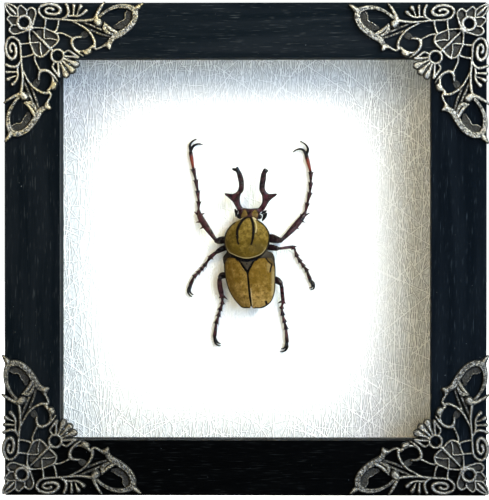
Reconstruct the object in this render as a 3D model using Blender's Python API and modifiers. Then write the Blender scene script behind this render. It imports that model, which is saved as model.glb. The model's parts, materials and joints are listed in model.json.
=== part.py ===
"""A horned beetle in a glazed black box frame with openwork metal corners.

Metres, +Z up, with the front towards -Y. The origin is the middle of the face it stands on.
"""

from math import atan2, copysign, cos, hypot, pi, radians, sin, sqrt

import bmesh
import bpy
import numpy as np
from mathutils import Matrix, Vector

MM = 0.001

# Frame
FRAME_W = 150.0 * MM
FRAME_H = 153.4 * MM
FRAME_D = 32.0 * MM
RAIL_W = 17.2 * MM
LIP_T = 3.5 * MM
REBATE = 5.0 * MM
PAPER_DEPTH = 21.0 * MM
GLASS_T = 2.0 * MM
CARD_T = 1.5 * MM
BOARD_T = 3.0 * MM
LINER_T = 4.6 * MM
FIT = 0.2 * MM

FRONT_Y = -FRAME_D / 2
BACK_Y = FRAME_D / 2
CENTRE_Z = FRAME_H / 2
PAPER_Y = FRONT_Y + PAPER_DEPTH
REBATE_IN = RAIL_W - REBATE
BOARD_BACK_Y = PAPER_Y + CARD_T + FIT + BOARD_T

# Fittings on the back
TAB_LENGTH = 11.0 * MM
TAB_W = 6.0 * MM
TAB_T = 0.5 * MM
TAB_SHOWS = 6.0 * MM
SLOT_SPARE = 0.3 * MM
HANGER_W = 45.0 * MM
HANGER_H = 8.0 * MM
HANGER_T = 0.9 * MM
HANGER_TEETH = 9
TOOTH_DEPTH = 1.6 * MM
NAIL_SPACING = 38.0 * MM
NAIL_R = 0.6 * MM
NAIL_HEAD_R = 1.5 * MM
NAIL_LENGTH = 9.0 * MM
HOLE_R = 0.9 * MM

# Corner castings
CASTING_T = 1.4 * MM
GRID_STEP = 0.15
CLOSED_GAP = 0.5
OUTLINE_TOLERANCE = 0.25
SMALLEST_HOLE = 3.2

COLLECTION = "framed_beetle"
SIDES = {"bottom": 0, "left": 90, "top": 180, "right": -90}


def material(name, colour, roughness, metallic=0.0, alpha=1.0):
    made = bpy.data.materials.new(name)
    made.use_nodes = True
    shader = made.node_tree.nodes["Principled BSDF"]
    shader.inputs["Base Color"].default_value = (*colour, 1.0)
    shader.inputs["Roughness"].default_value = roughness
    shader.inputs["Metallic"].default_value = metallic
    shader.inputs["Alpha"].default_value = alpha
    made.diffuse_color = (*colour, alpha)
    return made


def collection(name):
    found = bpy.data.collections.get(name)
    if found is None:
        found = bpy.data.collections.new(name)
        bpy.context.scene.collection.children.link(found)
    return found


def put(name, data, look=None, matrix=None):
    """A new object in the part's collection."""
    made = bpy.data.objects.new(name, data)
    collection(COLLECTION).objects.link(made)
    if look and not data.materials:
        data.materials.append(look)
    if matrix is not None:
        made.matrix_world = matrix
    return made


def mesh_from(bm, name, smooth_under=None, turn_out=True):
    if turn_out:
        bmesh.ops.recalc_face_normals(bm, faces=bm.faces)
    mesh = bpy.data.meshes.new(name)
    bm.to_mesh(mesh)
    bm.free()
    if smooth_under is not None:
        mesh.shade_smooth()
        mesh.set_sharp_from_angle(angle=radians(smooth_under))
    return mesh


def box(name, low, high, look):
    """A block between two corners."""
    size = Vector(high) - Vector(low)
    middle = (Vector(high) + Vector(low)) / 2
    bm = bmesh.new()
    bmesh.ops.create_cube(bm, size=1.0, matrix=Matrix.Translation(middle) @ Matrix.Diagonal((*size, 1)))
    return put(name, mesh_from(bm, name), look)


def side_matrix(side):
    """Turns a piece made along the bottom rail, about the frame's middle, to another side."""
    return Matrix.Translation((0, 0, CENTRE_Z)) @ Matrix.Rotation(radians(SIDES[side]), 4, "Y")


def side_reach(side):
    """Half the side's length, and how far its outer edge is from the frame's middle."""
    if side in ("bottom", "top"):
        return FRAME_W / 2, FRAME_H / 2
    return FRAME_H / 2, FRAME_W / 2


def mitred(name, profile, side, look):
    """A straight length with mitred ends. The profile's points are (inward from the edge, y)."""
    half, reach = side_reach(side)
    bm = bmesh.new()
    section = bm.faces.new([bm.verts.new((-half, y, inward - reach)) for inward, y in profile])
    grown = bmesh.ops.extrude_face_region(bm, geom=[section])["geom"]
    far_end = [item for item in grown if isinstance(item, bmesh.types.BMVert)]
    bmesh.ops.translate(bm, verts=far_end, vec=(2 * half, 0, 0))
    for vert in bm.verts:
        inward = vert.co.z + reach
        vert.co.x -= copysign(inward + FIT / 2, vert.co.x)
    return put(name, mesh_from(bm, name), look, side_matrix(side))


def cut(piece, cutter):
    """Takes a hidden cutter out of a piece."""
    collection(COLLECTION).objects.unlink(cutter)
    collection(COLLECTION + "_cutters").objects.link(cutter)
    cutter.hide_render = True
    cutter.display_type = "WIRE"
    taken = piece.modifiers.new(cutter.name, "BOOLEAN")
    taken.operation = "DIFFERENCE"
    taken.solver = "EXACT"
    taken.object = cutter


def rod(name, middle, length, radius):
    """A cylinder along Y."""
    bm = bmesh.new()
    bmesh.ops.create_cone(
        bm, cap_ends=True, segments=8, radius1=radius, radius2=radius, depth=length,
        matrix=Matrix.Translation(middle) @ Matrix.Rotation(pi / 2, 4, "X"),
    )
    return put(name, mesh_from(bm, name))


def flat_curve(name, outlines, half_thickness, edge=0.0):
    """A flat shape, with holes where one outline lies inside another, as a 2D curve."""
    curve = bpy.data.curves.new(name, "CURVE")
    curve.dimensions = "2D"
    curve.fill_mode = "BOTH"
    curve.extrude = half_thickness - edge
    curve.bevel_depth = edge
    curve.bevel_resolution = 0
    for outline in outlines:
        spline = curve.splines.new("POLY")
        spline.points.add(len(outline) - 1)
        for point, (x, y) in zip(spline.points, outline):
            point.co = (x, y, 0, 1)
        spline.use_cyclic_u = True
    return curve


def upright(x, y, z, turn=0.0):
    """Stands a flat shape up, facing the front, with its own middle at a point."""
    stand = Matrix.Rotation(pi / 2, 4, "X")
    return Matrix.Translation((x, y, z)) @ stand @ Matrix.Rotation(radians(turn), 4, "Z")


# Frame, glass, lining and back

def frame_pieces(wood, metal):
    lip_y = FRONT_Y + LIP_T
    rail = [
        (0, FRONT_Y), (RAIL_W, FRONT_Y), (RAIL_W, lip_y), (REBATE_IN, lip_y), (REBATE_IN, BACK_Y),
        (0, BACK_Y),
    ]
    for side in SIDES:
        piece = mitred("rail_" + side, rail, side, wood)
        reach = side_reach(side)[1]
        tab_y = BOARD_BACK_Y + FIT + TAB_T / 2
        deep = TAB_LENGTH - TAB_SHOWS + SLOT_SPARE
        slot = box(
            "slot_" + side,
            (-TAB_W / 2 - SLOT_SPARE, tab_y - TAB_T / 2 - SLOT_SPARE / 2, REBATE_IN - deep - reach),
            (TAB_W / 2 + SLOT_SPARE, tab_y + TAB_T / 2 + SLOT_SPARE / 2, REBATE_IN + MM - reach),
            metal,
        )
        slot.matrix_world = side_matrix(side)
        cut(piece, slot)
        framers_point(side, tab_y, metal)
    return bpy.data.objects["rail_top"]


def framers_point(side, y, metal):
    """A flat pointed tab, driven into the rail behind the back board."""
    shoulder = TAB_LENGTH - TAB_W / 2
    outline = [
        (-TAB_W / 2, 0), (TAB_W / 2, 0), (TAB_W / 2, shoulder), (0, TAB_LENGTH), (-TAB_W / 2, shoulder),
    ]
    reach = side_reach(side)[1]
    start = REBATE_IN + TAB_SHOWS - TAB_LENGTH - reach
    curve = flat_curve("point_" + side, [outline], TAB_T / 2)
    put("point_" + side, curve, metal, side_matrix(side) @ upright(0, y, start))


def glass_and_lining(glass, lining):
    lip_y = FRONT_Y + LIP_T
    half_w = FRAME_W / 2 - REBATE_IN - FIT
    half_h = FRAME_H / 2 - REBATE_IN - FIT
    low, high = CENTRE_Z - half_h, CENTRE_Z + half_h
    glass_back = lip_y + FIT + GLASS_T
    box("glass_pane", (-half_w, lip_y + FIT, low), (half_w, glass_back, high), glass)
    inner = REBATE_IN + FIT + LINER_T
    front, back = glass_back + FIT, PAPER_Y - FIT
    strip = [(REBATE_IN + FIT, front), (inner, front), (inner, back), (REBATE_IN + FIT, back)]
    for side in SIDES:
        mitred("liner_" + side, strip, side, lining)
    return half_w, low, high


def card_and_board(half_w, low, high, paper, board):
    card_back = PAPER_Y + CARD_T
    box("display_card", (-half_w, PAPER_Y, low), (half_w, card_back, high), paper)
    box("back_board", (-half_w, card_back + FIT, low), (half_w, BOARD_BACK_Y, high), board)


def hanger(rail, metal):
    """A sawtooth strip on the top rail's back, held by two round-headed nails."""
    left, right = -HANGER_W / 2, HANGER_W / 2
    middle_z = FRAME_H - REBATE_IN / 2
    outline = [(left, HANGER_H / 2), (left, -HANGER_H / 2 + TOOTH_DEPTH)]
    first = -NAIL_SPACING / 2 + 2 * HANGER_H / 3
    pitch = -2 * first / HANGER_TEETH
    for tooth in range(HANGER_TEETH):
        x = first + tooth * pitch
        outline += [(x, -HANGER_H / 2), (x + pitch / 2, -HANGER_H / 2 + TOOTH_DEPTH)]
    outline += [(-first, -HANGER_H / 2), (right, -HANGER_H / 2 + TOOTH_DEPTH), (right, HANGER_H / 2)]
    holes = []
    for x in (-NAIL_SPACING / 2, NAIL_SPACING / 2):
        turns = [2 * pi * step / 8 for step in range(8)]
        holes.append([(x + HOLE_R * cos(a), HOLE_R * sin(a)) for a in turns])
    y = BACK_Y + FIT + HANGER_T / 2
    curve = flat_curve("sawtooth_hanger", [outline, *holes], HANGER_T / 2)
    put("sawtooth_hanger", curve, metal, upright(0, y, middle_z))
    for side, x in (("left", -NAIL_SPACING / 2), ("right", NAIL_SPACING / 2)):
        nail(side, x, middle_z, y + HANGER_T / 2 + FIT / 2, rail, metal)


def nail(side, x, z, head_y, rail, metal):
    """A turned nail, its head on the hanger and its shank in a drilled hole."""
    profile = [
        (0, NAIL_HEAD_R * 0.5), (NAIL_HEAD_R * 0.7, NAIL_HEAD_R * 0.35), (NAIL_HEAD_R, 0),
        (NAIL_R, 0), (NAIL_R, 1.5 * NAIL_HEAD_R - NAIL_LENGTH), (0, -NAIL_LENGTH),
    ]
    mesh = bpy.data.meshes.new("hanger_nail_" + side)
    edges = [(step, step + 1) for step in range(len(profile) - 1)]
    mesh.from_pydata([(radius, 0, height) for radius, height in profile], edges, [])
    stand = Matrix.Translation((x, head_y, z)) @ Matrix.Rotation(-pi / 2, 4, "X")
    made = put("hanger_nail_" + side, mesh, metal, stand)
    turned = made.modifiers.new("turned", "SCREW")
    turned.steps = turned.render_steps = 8
    turned.use_merge_vertices = True
    turned.merge_threshold = 0.00001
    drilled = rod("nail_hole_" + side, (x, BACK_Y, z), 2 * NAIL_LENGTH, HOLE_R)
    cut(rail, drilled)


# Corner castings: one drawing, in millimetres right (u) and down (v) from the frame's corner

def ring(u, v, radius, width, steps=20):
    turns = [2 * pi * step / steps for step in range(steps + 1)]
    return [(u + radius * cos(a), v + radius * sin(a), width) for a in turns]


def ray(u, v, angle, marks):
    """A straight stroke out from a centre, through (distance, width) marks."""
    a = radians(angle)
    return [(u + far * cos(a), v + far * sin(a), width) for far, width in marks]


def casting_strokes():
    """The strokes above the diagonal, as (u, v, width) points. The rest is their mirror image."""
    outer, inner = 6.15, 16.55
    big_lobe = [(2.0, 0.8), (4.2, 1.1), (5.6, 1.7), (6.4, 1.85)]
    small_lobe = [(2.0, 0.8), (4.2, 0.8), (5.6, 0.9), (6.3, 0.9)]
    return [
        # flower in the corner, and its petals
        ring(outer, outer, 1.95, 0.75),
        [(0.3, 0.3, 0.5), (1.5, 0.35, 0.5), (2.8, 1.0, 0.6), (3.8, 1.8, 0.6)],
        [(4.3, 4.4, 0.6), (4.2, 3.0, 0.6), (4.15, 1.9, 0.6), (5.0, 0.9, 0.6), (6.0, 1.6, 0.6),
         (6.9, 2.5, 0.6), (7.0, 4.2, 0.6)],
        [(7.0, 2.5, 0.6), (7.8, 1.8, 0.6), (8.6, 1.6, 0.7), (9.6, 2.4, 0.7), (9.75, 3.8, 0.6),
         (9.3, 5.2, 0.6), (8.9, 6.6, 0.7), (8.0, 7.9, 1.1)],
        # lattice leaf along the diagonal
        [(8.0, 8.0, 1.3), (9.5, 7.8, 0.6), (12.5, 8.05, 0.6), (14.2, 8.7, 0.6), (15.7, 9.3, 0.8),
         (16.6, 10.3, 0.7), (16.9, 11.5, 0.7), (16.4, 12.5, 0.7), (15.3, 13.6, 0.7), (14.3, 14.3, 0.7)],
        [(8.2, 8.2, 0.5), (11.5, 11.6, 0.7), (15.2, 15.2, 1.0)],
        [(12.45, 8.1, 0.55), (12.4, 10.0, 0.55), (12.6, 11.2, 0.55), (14.5, 11.2, 0.55), (16.8, 11.7, 0.55)],
        [(12.6, 8.0, 0.6), (12.8, 6.5, 0.6), (12.9, 4.9, 0.7)],
        [(15.8, 9.3, 0.7), (16.4, 8.2, 0.65), (16.8, 6.6, 0.6), (16.9, 5.3, 0.6)],
        [(16.2, 9.6, 0.7), (17.4, 9.45, 0.6), (18.8, 9.9, 0.6), (20.9, 10.9, 0.7)],
        # stem and its spiral
        [(28.9, 4.6, 1.0), (27.8, 5.2, 0.9), (25.5, 5.55, 0.9), (22.5, 5.65, 0.75), (18.0, 5.25, 0.7),
         (14.5, 5.05, 0.7), (12.6, 4.8, 0.8), (11.2, 3.7, 0.8), (10.75, 2.5, 0.8), (11.1, 1.5, 0.8),
         (12.3, 0.7, 0.7), (14.2, 0.35, 0.6), (16.2, 0.8, 0.7), (17.5, 2.0, 0.85), (17.4, 3.1, 0.9),
         (16.2, 3.7, 0.85), (14.5, 3.7, 0.8), (13.1, 3.3, 0.75), (12.5, 2.55, 0.7), (13.1, 1.8, 0.7),
         (14.3, 1.6, 0.8), (15.4, 2.1, 0.9)],
        # palmette along the edge
        [(17.9, 5.1, 0.6), (19.2, 4.5, 0.8), (19.95, 3.4, 0.9), (19.9, 2.0, 0.9), (19.3, 0.55, 0.9)],
        [(19.5, 4.3, 0.6), (21.2, 4.1, 0.7), (22.8, 4.2, 0.7), (24.2, 3.7, 0.8), (25.4, 2.65, 1.2)],
        [(21.5, 4.0, 0.6), (21.6, 2.3, 0.75), (21.65, 0.8, 1.0)],
        [(22.6, 4.0, 0.4), (23.1, 2.6, 0.6), (23.8, 1.2, 1.25)],
        # scroll below the stem
        [(20.8, 5.6, 0.6), (23.0, 6.7, 0.6), (25.1, 7.9, 0.7), (26.7, 9.5, 0.8), (27.8, 11.3, 0.85),
         (28.2, 12.7, 0.9), (28.1, 13.8, 0.9)],
        [(23.9, 10.75, 0.6), (22.4, 10.8, 0.8), (21.3, 11.4, 1.0), (21.05, 12.5, 1.0), (21.4, 13.7, 0.95),
         (22.3, 14.9, 0.85), (23.3, 15.8, 0.75), (24.5, 16.6, 0.4)],
        [(22.2, 14.4, 0.5), (23.5, 15.1, 0.6), (25.0, 15.1, 0.9), (26.4, 14.5, 0.9), (27.4, 13.6, 0.9)],
        [(25.4, 15.6, 1.5), (26.4, 15.2, 1.5)],
        [(27.7, 13.7, 0.8), (28.4, 14.4, 0.7), (29.6, 14.2, 0.7), (31.0, 13.4, 0.8), (32.3, 13.2, 1.9)],
        [(32.4, 13.2, 1.7), (32.85, 14.2, 0.9)],
        # teardrop loop
        [(32.6, 13.0, 1.3), (33.6, 11.3, 1.6), (35.5, 10.1, 1.8), (37.4, 8.9, 1.7), (39.1, 7.5, 1.6),
         (40.3, 5.8, 1.6), (40.8, 4.0, 1.7), (40.4, 2.3, 1.7), (38.6, 1.35, 1.4), (36.5, 1.15, 1.25),
         (34.5, 1.4, 1.1), (32.7, 2.15, 0.95), (31.2, 3.05, 0.9), (29.7, 4.3, 0.9)],
        [(40.9, 2.0, 1.6), (42.2, 1.0, 1.1), (43.1, 0.3, 0.6)],
        [(33.6, 9.8, 0.6), (32.0, 9.2, 1.0), (31.2, 8.0, 1.1), (31.2, 6.3, 0.5)],
        [(31.2, 6.3, 0.5), (32.2, 7.5, 1.0), (33.7, 8.7, 1.1), (35.8, 9.7, 0.9)],
        [(38.8, 2.2, 1.0), (38.5, 5.2, 1.6), (36.8, 6.9, 1.9), (34.6, 7.4, 1.0)],
        # spike, boss and the low leaves between them and the scroll
        [(28.3, 4.9, 1.1), (29.2, 3.0, 1.0), (30.1, 1.4, 0.9), (31.1, 0.0, 0.5)],
        [(28.6, 5.4, 1.8), (29.3, 6.3, 2.2)],
        [(24.0, 5.9, 0.5), (26.5, 6.9, 0.7), (29.0, 7.9, 0.8), (31.0, 8.8, 0.7)],
        [(25.2, 7.9, 0.5), (28.0, 9.0, 0.7), (30.0, 9.8, 0.7), (32.9, 10.6, 0.7)],
        # flower towards the picture
        ring(inner, inner, 1.95, 0.65),
        ray(inner, inner, 4, small_lobe),
        ray(inner, inner, 24.5, big_lobe),
        ray(inner, inner, 45, big_lobe),
        [(18.6, 15.6, 0.7), (20.0, 15.0, 0.7), (21.3, 15.8, 0.8), (22.8, 16.9, 0.8)],
    ]


def smooth_open(points, steps=4):
    """More points on a smooth curve through the given ones."""
    given = np.array(points, float)
    before = np.vstack([2 * given[:1] - given[1:2], given[:-2]])
    after = np.vstack([given[2:], 2 * given[-1:] - given[-2:-1]])
    made = []
    for p0, p1, p2, p3 in zip(before, given[:-1], given[1:], after):
        for t in np.arange(steps) / steps:
            bend = (2 * p0 - 5 * p1 + 4 * p2 - p3) * t * t + (3 * p1 - p0 - 3 * p2 + p3) * t ** 3
            made.append((2 * p1 + (p2 - p0) * t + bend) / 2)
    return np.array([*made, given[-1]])


def casting_field():
    """How far each grid point is from the casting's edge, in millimetres, negative inside it."""
    low, high = -1.5, 45.0
    line = np.arange(low, high, GRID_STEP)
    u, v = np.meshgrid(line, line)
    field = np.full(u.shape, 10.0)
    for stroke in casting_strokes():
        path = smooth_open(stroke)
        for (u0, v0, w0), (u1, v1, w1) in zip(path[:-1], path[1:]):
            du, dv = u1 - u0, v1 - v0
            along = np.clip(((u - u0) * du + (v - v0) * dv) / max(du * du + dv * dv, 1e-9), 0, 1)
            gap = np.hypot(u - u0 - along * du, v - v0 - along * dv) - (w0 + along * (w1 - w0)) / 2
            field = np.minimum(field, gap)
    field = np.minimum(field, field.T)
    return low, closed_up(field)


def closed_up(field):
    """Fills gaps narrower than twice CLOSED_GAP, which the faceted piece leaves out."""
    cells = int(CLOSED_GAP / GRID_STEP + 0.5)
    farthest = field.copy()
    for down in range(-cells, cells + 1):
        for right in range(-cells, cells + 1):
            if hypot(down, right) <= cells:
                farthest = np.maximum(farthest, np.roll(field, (down, right), (0, 1)))
    return farthest - CLOSED_GAP


def level_outlines(field, low):
    """The closed outlines where the field is zero, as lists of (u, v)."""
    inside = field < 0
    onward = {}
    mixed = inside[:-1, :-1].astype(int) + inside[1:, :-1] + inside[:-1, 1:] + inside[1:, 1:]
    for row, column in np.argwhere((mixed > 0) & (mixed < 4)):
        corners = [(row, column), (row, column + 1), (row + 1, column + 1), (row + 1, column)]
        entries, exits = [], []
        for start, end in zip(corners, corners[1:] + corners[:1]):
            if inside[start] != inside[end]:
                (exits if inside[start] else entries).append(tuple(sorted((start, end))))
        if len(exits) == 2 and field[row:row + 2, column:column + 2].mean() < 0:
            entries.reverse()
        for leaving, entering in zip(exits, entries):
            onward[leaving] = entering
    outlines = []
    while onward:
        first, edge = onward.popitem()
        outline = [first]
        while edge != first:
            outline.append(edge)
            edge = onward.pop(edge)
        outlines.append([crossing(field, low, *sides) for sides in outline])
    return outlines


def crossing(field, low, start, end):
    """Where the field is zero between two grid points."""
    share = field[start] / (field[start] - field[end])
    row = start[0] + share * (end[0] - start[0])
    column = start[1] + share * (end[1] - start[1])
    return low + column * GRID_STEP, low + row * GRID_STEP


def thinned(points, tolerance):
    """Drops the points of a line that lie within a tolerance of it."""
    if len(points) < 3:
        return points
    start, end = np.array(points[0]), np.array(points[-1])
    way = end - start
    length = max(hypot(*way), 1e-9)
    between = np.array(points[1:-1]) - start
    off = np.abs(between[:, 0] * way[1] - between[:, 1] * way[0]) / length
    farthest = int(off.argmax())
    if off[farthest] <= tolerance:
        return [points[0], points[-1]]
    split = farthest + 1
    return thinned(points[:split + 1], tolerance)[:-1] + thinned(points[split:], tolerance)


def area_of(outline):
    """Positive where the outline runs anticlockwise."""
    x, y = np.array(outline).T
    return (np.dot(x, np.roll(y, -1)) - np.dot(y, np.roll(x, -1))) / 2


def casting_outlines():
    """The casting's outer edge and its holes, each thinned to the points that it needs."""
    low, field = casting_field()
    outlines = []
    for outline in level_outlines(field, low):
        if abs(area_of(outline)) < SMALLEST_HOLE:
            continue
        half = len(outline) // 2
        loop = thinned(outline[:half + 1], OUTLINE_TOLERANCE)[:-1]
        loop += thinned(outline[half:] + outline[:1], OUTLINE_TOLERANCE)[:-1]
        outlines.append(loop)
    return outlines


def castings(metal):
    """Four copies of one casting, each turned to its corner and a little off true, as fitted by hand."""
    outlines = casting_outlines()
    overhang = -min(v for outline in outlines for u, v in outline) * MM
    loops = [[(u * MM, -v * MM) for u, v in outline] for outline in outlines]
    shape = flat_curve("corner_filigree", loops, CASTING_T / 2)
    shape.materials.append(metal)
    half = FRAME_W / 2
    resting = overhang + FIT / 2
    corners = {
        "top_left": (-half, FRAME_H, 0),
        "top_right": (half + 0.6 * MM, FRAME_H - 0.55 * MM, -90),
        "bottom_left": (-half - 0.78 * MM, resting, 90),
        "bottom_right": (half + 0.68 * MM, resting, 180),
    }
    y = FRONT_Y - FIT - CASTING_T / 2
    for corner, (x, z, turn) in corners.items():
        put("corner_filigree_" + corner, shape, matrix=upright(x, y, z, turn))


# Beetle: points are millimetres right and up from the frame's middle, and height off the paper

def on_paper(x, z, height):
    return Vector((x * MM, PAPER_Y - height * MM, CENTRE_Z + z * MM))


def even_points(outline, count):
    """A closed smooth outline as evenly spaced points, anticlockwise from the front."""
    given = np.array(outline if area_of(outline) > 0 else outline[::-1], float)
    wrapped = np.vstack([given[-1:], given, given[:2]])
    path = smooth_open(wrapped, 8)
    first, last = 8, 8 * (len(given) + 1)
    path = path[first:last + 1]
    steps = np.hypot(*np.diff(path, axis=0).T)
    along = np.concatenate([[0], np.cumsum(steps)])
    marks = np.arange(count) * along[-1] / count
    return np.column_stack([np.interp(marks, along, path[:, axis]) for axis in (0, 1)])


def pillow(name, outline, middle, segments, rings, height):
    """A rounded plate inside an outline. height(x, z, rise) is given rise 1 on top, -1 below."""
    rim = even_points(outline, segments)
    bm = bmesh.new()
    bmesh.ops.create_uvsphere(bm, u_segments=segments, v_segments=rings, radius=1.0)
    for vert in bm.verts:
        share = min(1.0, hypot(vert.co.x, vert.co.y))
        turn = atan2(vert.co.y, vert.co.x) / (2 * pi)
        edge = rim[int(round(turn * segments)) % segments]
        x = middle[0] + share * (edge[0] - middle[0])
        z = middle[1] + share * (edge[1] - middle[1])
        vert.co = on_paper(x, z, height(x, z, vert.co.z))
    return mesh_from(bm, name, 60, turn_out=False)


def weld(mesh):
    bm = bmesh.new()
    bm.from_mesh(mesh)
    bmesh.ops.remove_doubles(bm, verts=bm.verts, dist=0.001 * MM)
    bm.to_mesh(mesh)
    bm.free()
    return mesh


def mesh_of(data, name):
    """The mesh that a curve makes, closed at its caps."""
    guide = put("guide", data)
    graph = bpy.context.evaluated_depsgraph_get()
    mesh = bpy.data.meshes.new_from_object(guide.evaluated_get(graph))
    mesh.name = name
    bpy.data.objects.remove(guide)
    bpy.data.curves.remove(data)
    return weld(mesh)


def tube(points, resolution):
    """A tapered round limb through (x, z, height, width) points."""
    curve = bpy.data.curves.new("tube", "CURVE")
    curve.dimensions = "3D"
    curve.bevel_depth = MM / 2
    curve.bevel_resolution = resolution
    curve.use_fill_caps = True
    spline = curve.splines.new("POLY")
    spline.points.add(len(points) - 1)
    for point, (x, z, height, width) in zip(spline.points, points):
        point.co = (*on_paper(x, z, height), 1)
        point.radius = width
    return mesh_of(curve, "tube")


def fused(name, meshes, look):
    """One object from overlapping closed meshes."""
    made = put(name, meshes[0], look)
    if len(meshes) > 1:
        extras = collection(name + "_extras")
        for mesh in meshes[1:]:
            extras.objects.link(bpy.data.objects.new(name + "_extra", mesh))
        join = made.modifiers.new("join", "BOOLEAN")
        join.operation = "UNION"
        join.operand_type = "COLLECTION"
        join.solver = "EXACT"
        join.use_self = True
        join.collection = extras
        graph = bpy.context.evaluated_depsgraph_get()
        whole = bpy.data.meshes.new_from_object(made.evaluated_get(graph))
        made.modifiers.remove(join)
        made.data = whole
        for extra in list(extras.objects):
            bpy.data.objects.remove(extra)
        bpy.data.collections.remove(extras)
    made.data.name = name
    made.data.shade_smooth()
    made.data.set_sharp_from_angle(angle=radians(50))
    made.data.materials.clear()
    made.data.materials.append(look)
    return made


# Wing cases, in a common dome
LEFT_EDGE = (
    [-18.7, -17.0, -15.0, -12.7, -9.0, -5.5, -4.0, -2.7],
    [-1.4, -3.0, -4.6, -5.7, -6.7, -7.05, -6.9, -5.3],
)
RIGHT_EDGE = (
    [-18.7, -17.4, -15.2, -13.5, -11.5, -6.0, -4.0, -2.6],
    [5.0, 7.0, 8.6, 9.0, 9.15, 9.2, 9.0, 7.6],
)
WING_EDGE_HEIGHT = 4.4
WING_RISE = 4.4
WING_T = 0.9
WING_CROWN = 0.45
TAIL_START = -7.0
TAIL_LENGTH = 12.2

# Pronotum, head and underside
PRONOTUM_EDGE = 4.7
PRONOTUM_TOP = 9.9
PRONOTUM_T = 0.5
PRONOTUM_HALF_W = 7.4
REAR_LIFT = 3.4
NECK_LIFT = 1.3
HEAD_RIM = 3.5
HEAD_RISE = 1.8
BELLY_RIM = 2.6
BELLY_DEPTH = 2.3
PLATE_T = 0.8
UNDER_WING = 0.7
UNDER_PRONOTUM = 0.3


def suture(z):
    """Where the wing cases meet: the body leans a little to one side."""
    return 0.45 + 0.1 * max(0.0, TAIL_START - z)


def back_height(x, z):
    """The height of the wing cases' common dome."""
    ridge = suture(z)
    edge = np.interp(z, *(LEFT_EDGE if x < ridge else RIGHT_EDGE))
    across = min(1.0, abs((x - ridge) / (edge - ridge)))
    tail = min(1.0, max(0.0, (TAIL_START - z) / TAIL_LENGTH))
    return WING_EDGE_HEIGHT + WING_RISE * sqrt(1 - across ** 2) * sqrt(1 - tail ** 2)


def wing_height(x, z, rise):
    return back_height(x, z) + (WING_CROWN * rise if rise > 0 else -WING_T * sqrt(-rise))


def pronotum_edge(x, z):
    """Low at the sides, higher where it meets the wing cases and the head."""
    rear = min(1.0, max(0.0, (2.0 - z) / 5.6)) * max(0.0, 1 - (x / PRONOTUM_HALF_W) ** 2)
    front = min(1.0, max(0.0, (z - 4.0) / 6.0))
    return PRONOTUM_EDGE + REAR_LIFT * rear + NECK_LIFT * front


def pronotum_height(x, z, rise):
    edge = pronotum_edge(x, z)
    return edge + (PRONOTUM_TOP - edge) * rise ** 0.8 if rise > 0 else edge - PRONOTUM_T * sqrt(-rise)


def plate_height(x, z, rise):
    return back_height(x, z) + PLATE_T / 2 * rise


def head_height(x, z, rise):
    return HEAD_RIM + copysign(HEAD_RISE * abs(rise) ** 0.7, rise)


def belly_height(x, z, rise):
    """The body fills the hollow under the wing cases and the pronotum."""
    if rise <= 0:
        return BELLY_RIM - BELLY_DEPTH * sqrt(-rise)
    below_wings = back_height(x, z) - WING_T - UNDER_WING
    below_pronotum = pronotum_edge(x, z) - PRONOTUM_T - UNDER_PRONOTUM
    return BELLY_RIM + (min(below_wings, below_pronotum) - BELLY_RIM) * sqrt(rise)


PRONOTUM = [
    (0.6, 10.15), (-1.5, 9.6), (-4.0, 8.2), (-6.0, 6.1), (-7.0, 3.6), (-7.0, 1.2), (-5.9, -1.3),
    (-4.0, -2.4), (-1.6, -3.3), (0.6, -3.5), (2.6, -3.1), (5.0, -2.1), (6.6, -0.2), (7.4, 2.6),
    (7.2, 5.2), (5.8, 7.5), (4.0, 8.9), (2.3, 9.9),
]
SCUTELLUM = [
    (-1.8, -3.85), (0.3, -4.05), (2.1, -3.75), (1.5, -4.9), (0.8, -6.2), (0.4, -6.8), (-0.1, -6.3),
    (-1.0, -5.1),
]
LEFT_WING = [
    (-2.3, -4.0), (-3.4, -3.15), (-4.7, -2.85), (-5.7, -3.0), (-6.8, -4.2), (-7.05, -5.6), (-6.75, -8.8),
    (-5.7, -12.7), (-4.4, -15.2), (-2.8, -17.3), (-1.3, -18.6), (0.4, -18.7), (1.35, -18.3), (0.9, -15.2),
    (0.5, -11.0), (0.2, -7.8), (-0.5, -6.75), (-1.4, -5.35),
]
RIGHT_WING = [
    (2.6, -3.9), (3.8, -3.05), (5.6, -2.75), (7.5, -2.75), (8.8, -3.6), (9.2, -6.0), (9.2, -10.0),
    (9.0, -13.5), (8.1, -16.3), (6.6, -17.9), (5.0, -18.7), (3.3, -18.75), (1.9, -18.5), (1.45, -15.2),
    (1.0, -11.0), (0.75, -8.0), (1.1, -6.7), (1.9, -5.2),
]
HEAD = [
    (0.8, 8.8), (-1.4, 9.0), (-2.4, 9.6), (-2.6, 11.0), (-2.4, 12.2), (-1.2, 12.9), (1.2, 12.7), (3.8, 12.9),
    (5.1, 12.3), (4.3, 11.2), (4.2, 9.8), (3.2, 9.1),
]
BELLY = [
    (0.6, 8.2), (-2.8, 7.4), (-5.0, 5.2), (-5.9, 3.0), (-5.9, 0.8), (-6.4, -1.2), (-7.4, -2.6),
    (-7.3, -4.6), (-6.5, -5.8), (-6.2, -8.0), (-5.8, -10.5), (-4.4, -14.2), (-2.4, -17.0), (0.5, -18.1),
    (3.8, -18.0), (6.4, -16.4), (8.0, -13.5), (8.2, -10.0), (8.4, -6.5), (8.9, -4.6), (8.8, -2.6),
    (8.0, -1.2), (6.6, -0.7), (6.0, 0.6), (6.1, 3.0), (5.4, 5.4), (3.4, 7.4),
]
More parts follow.
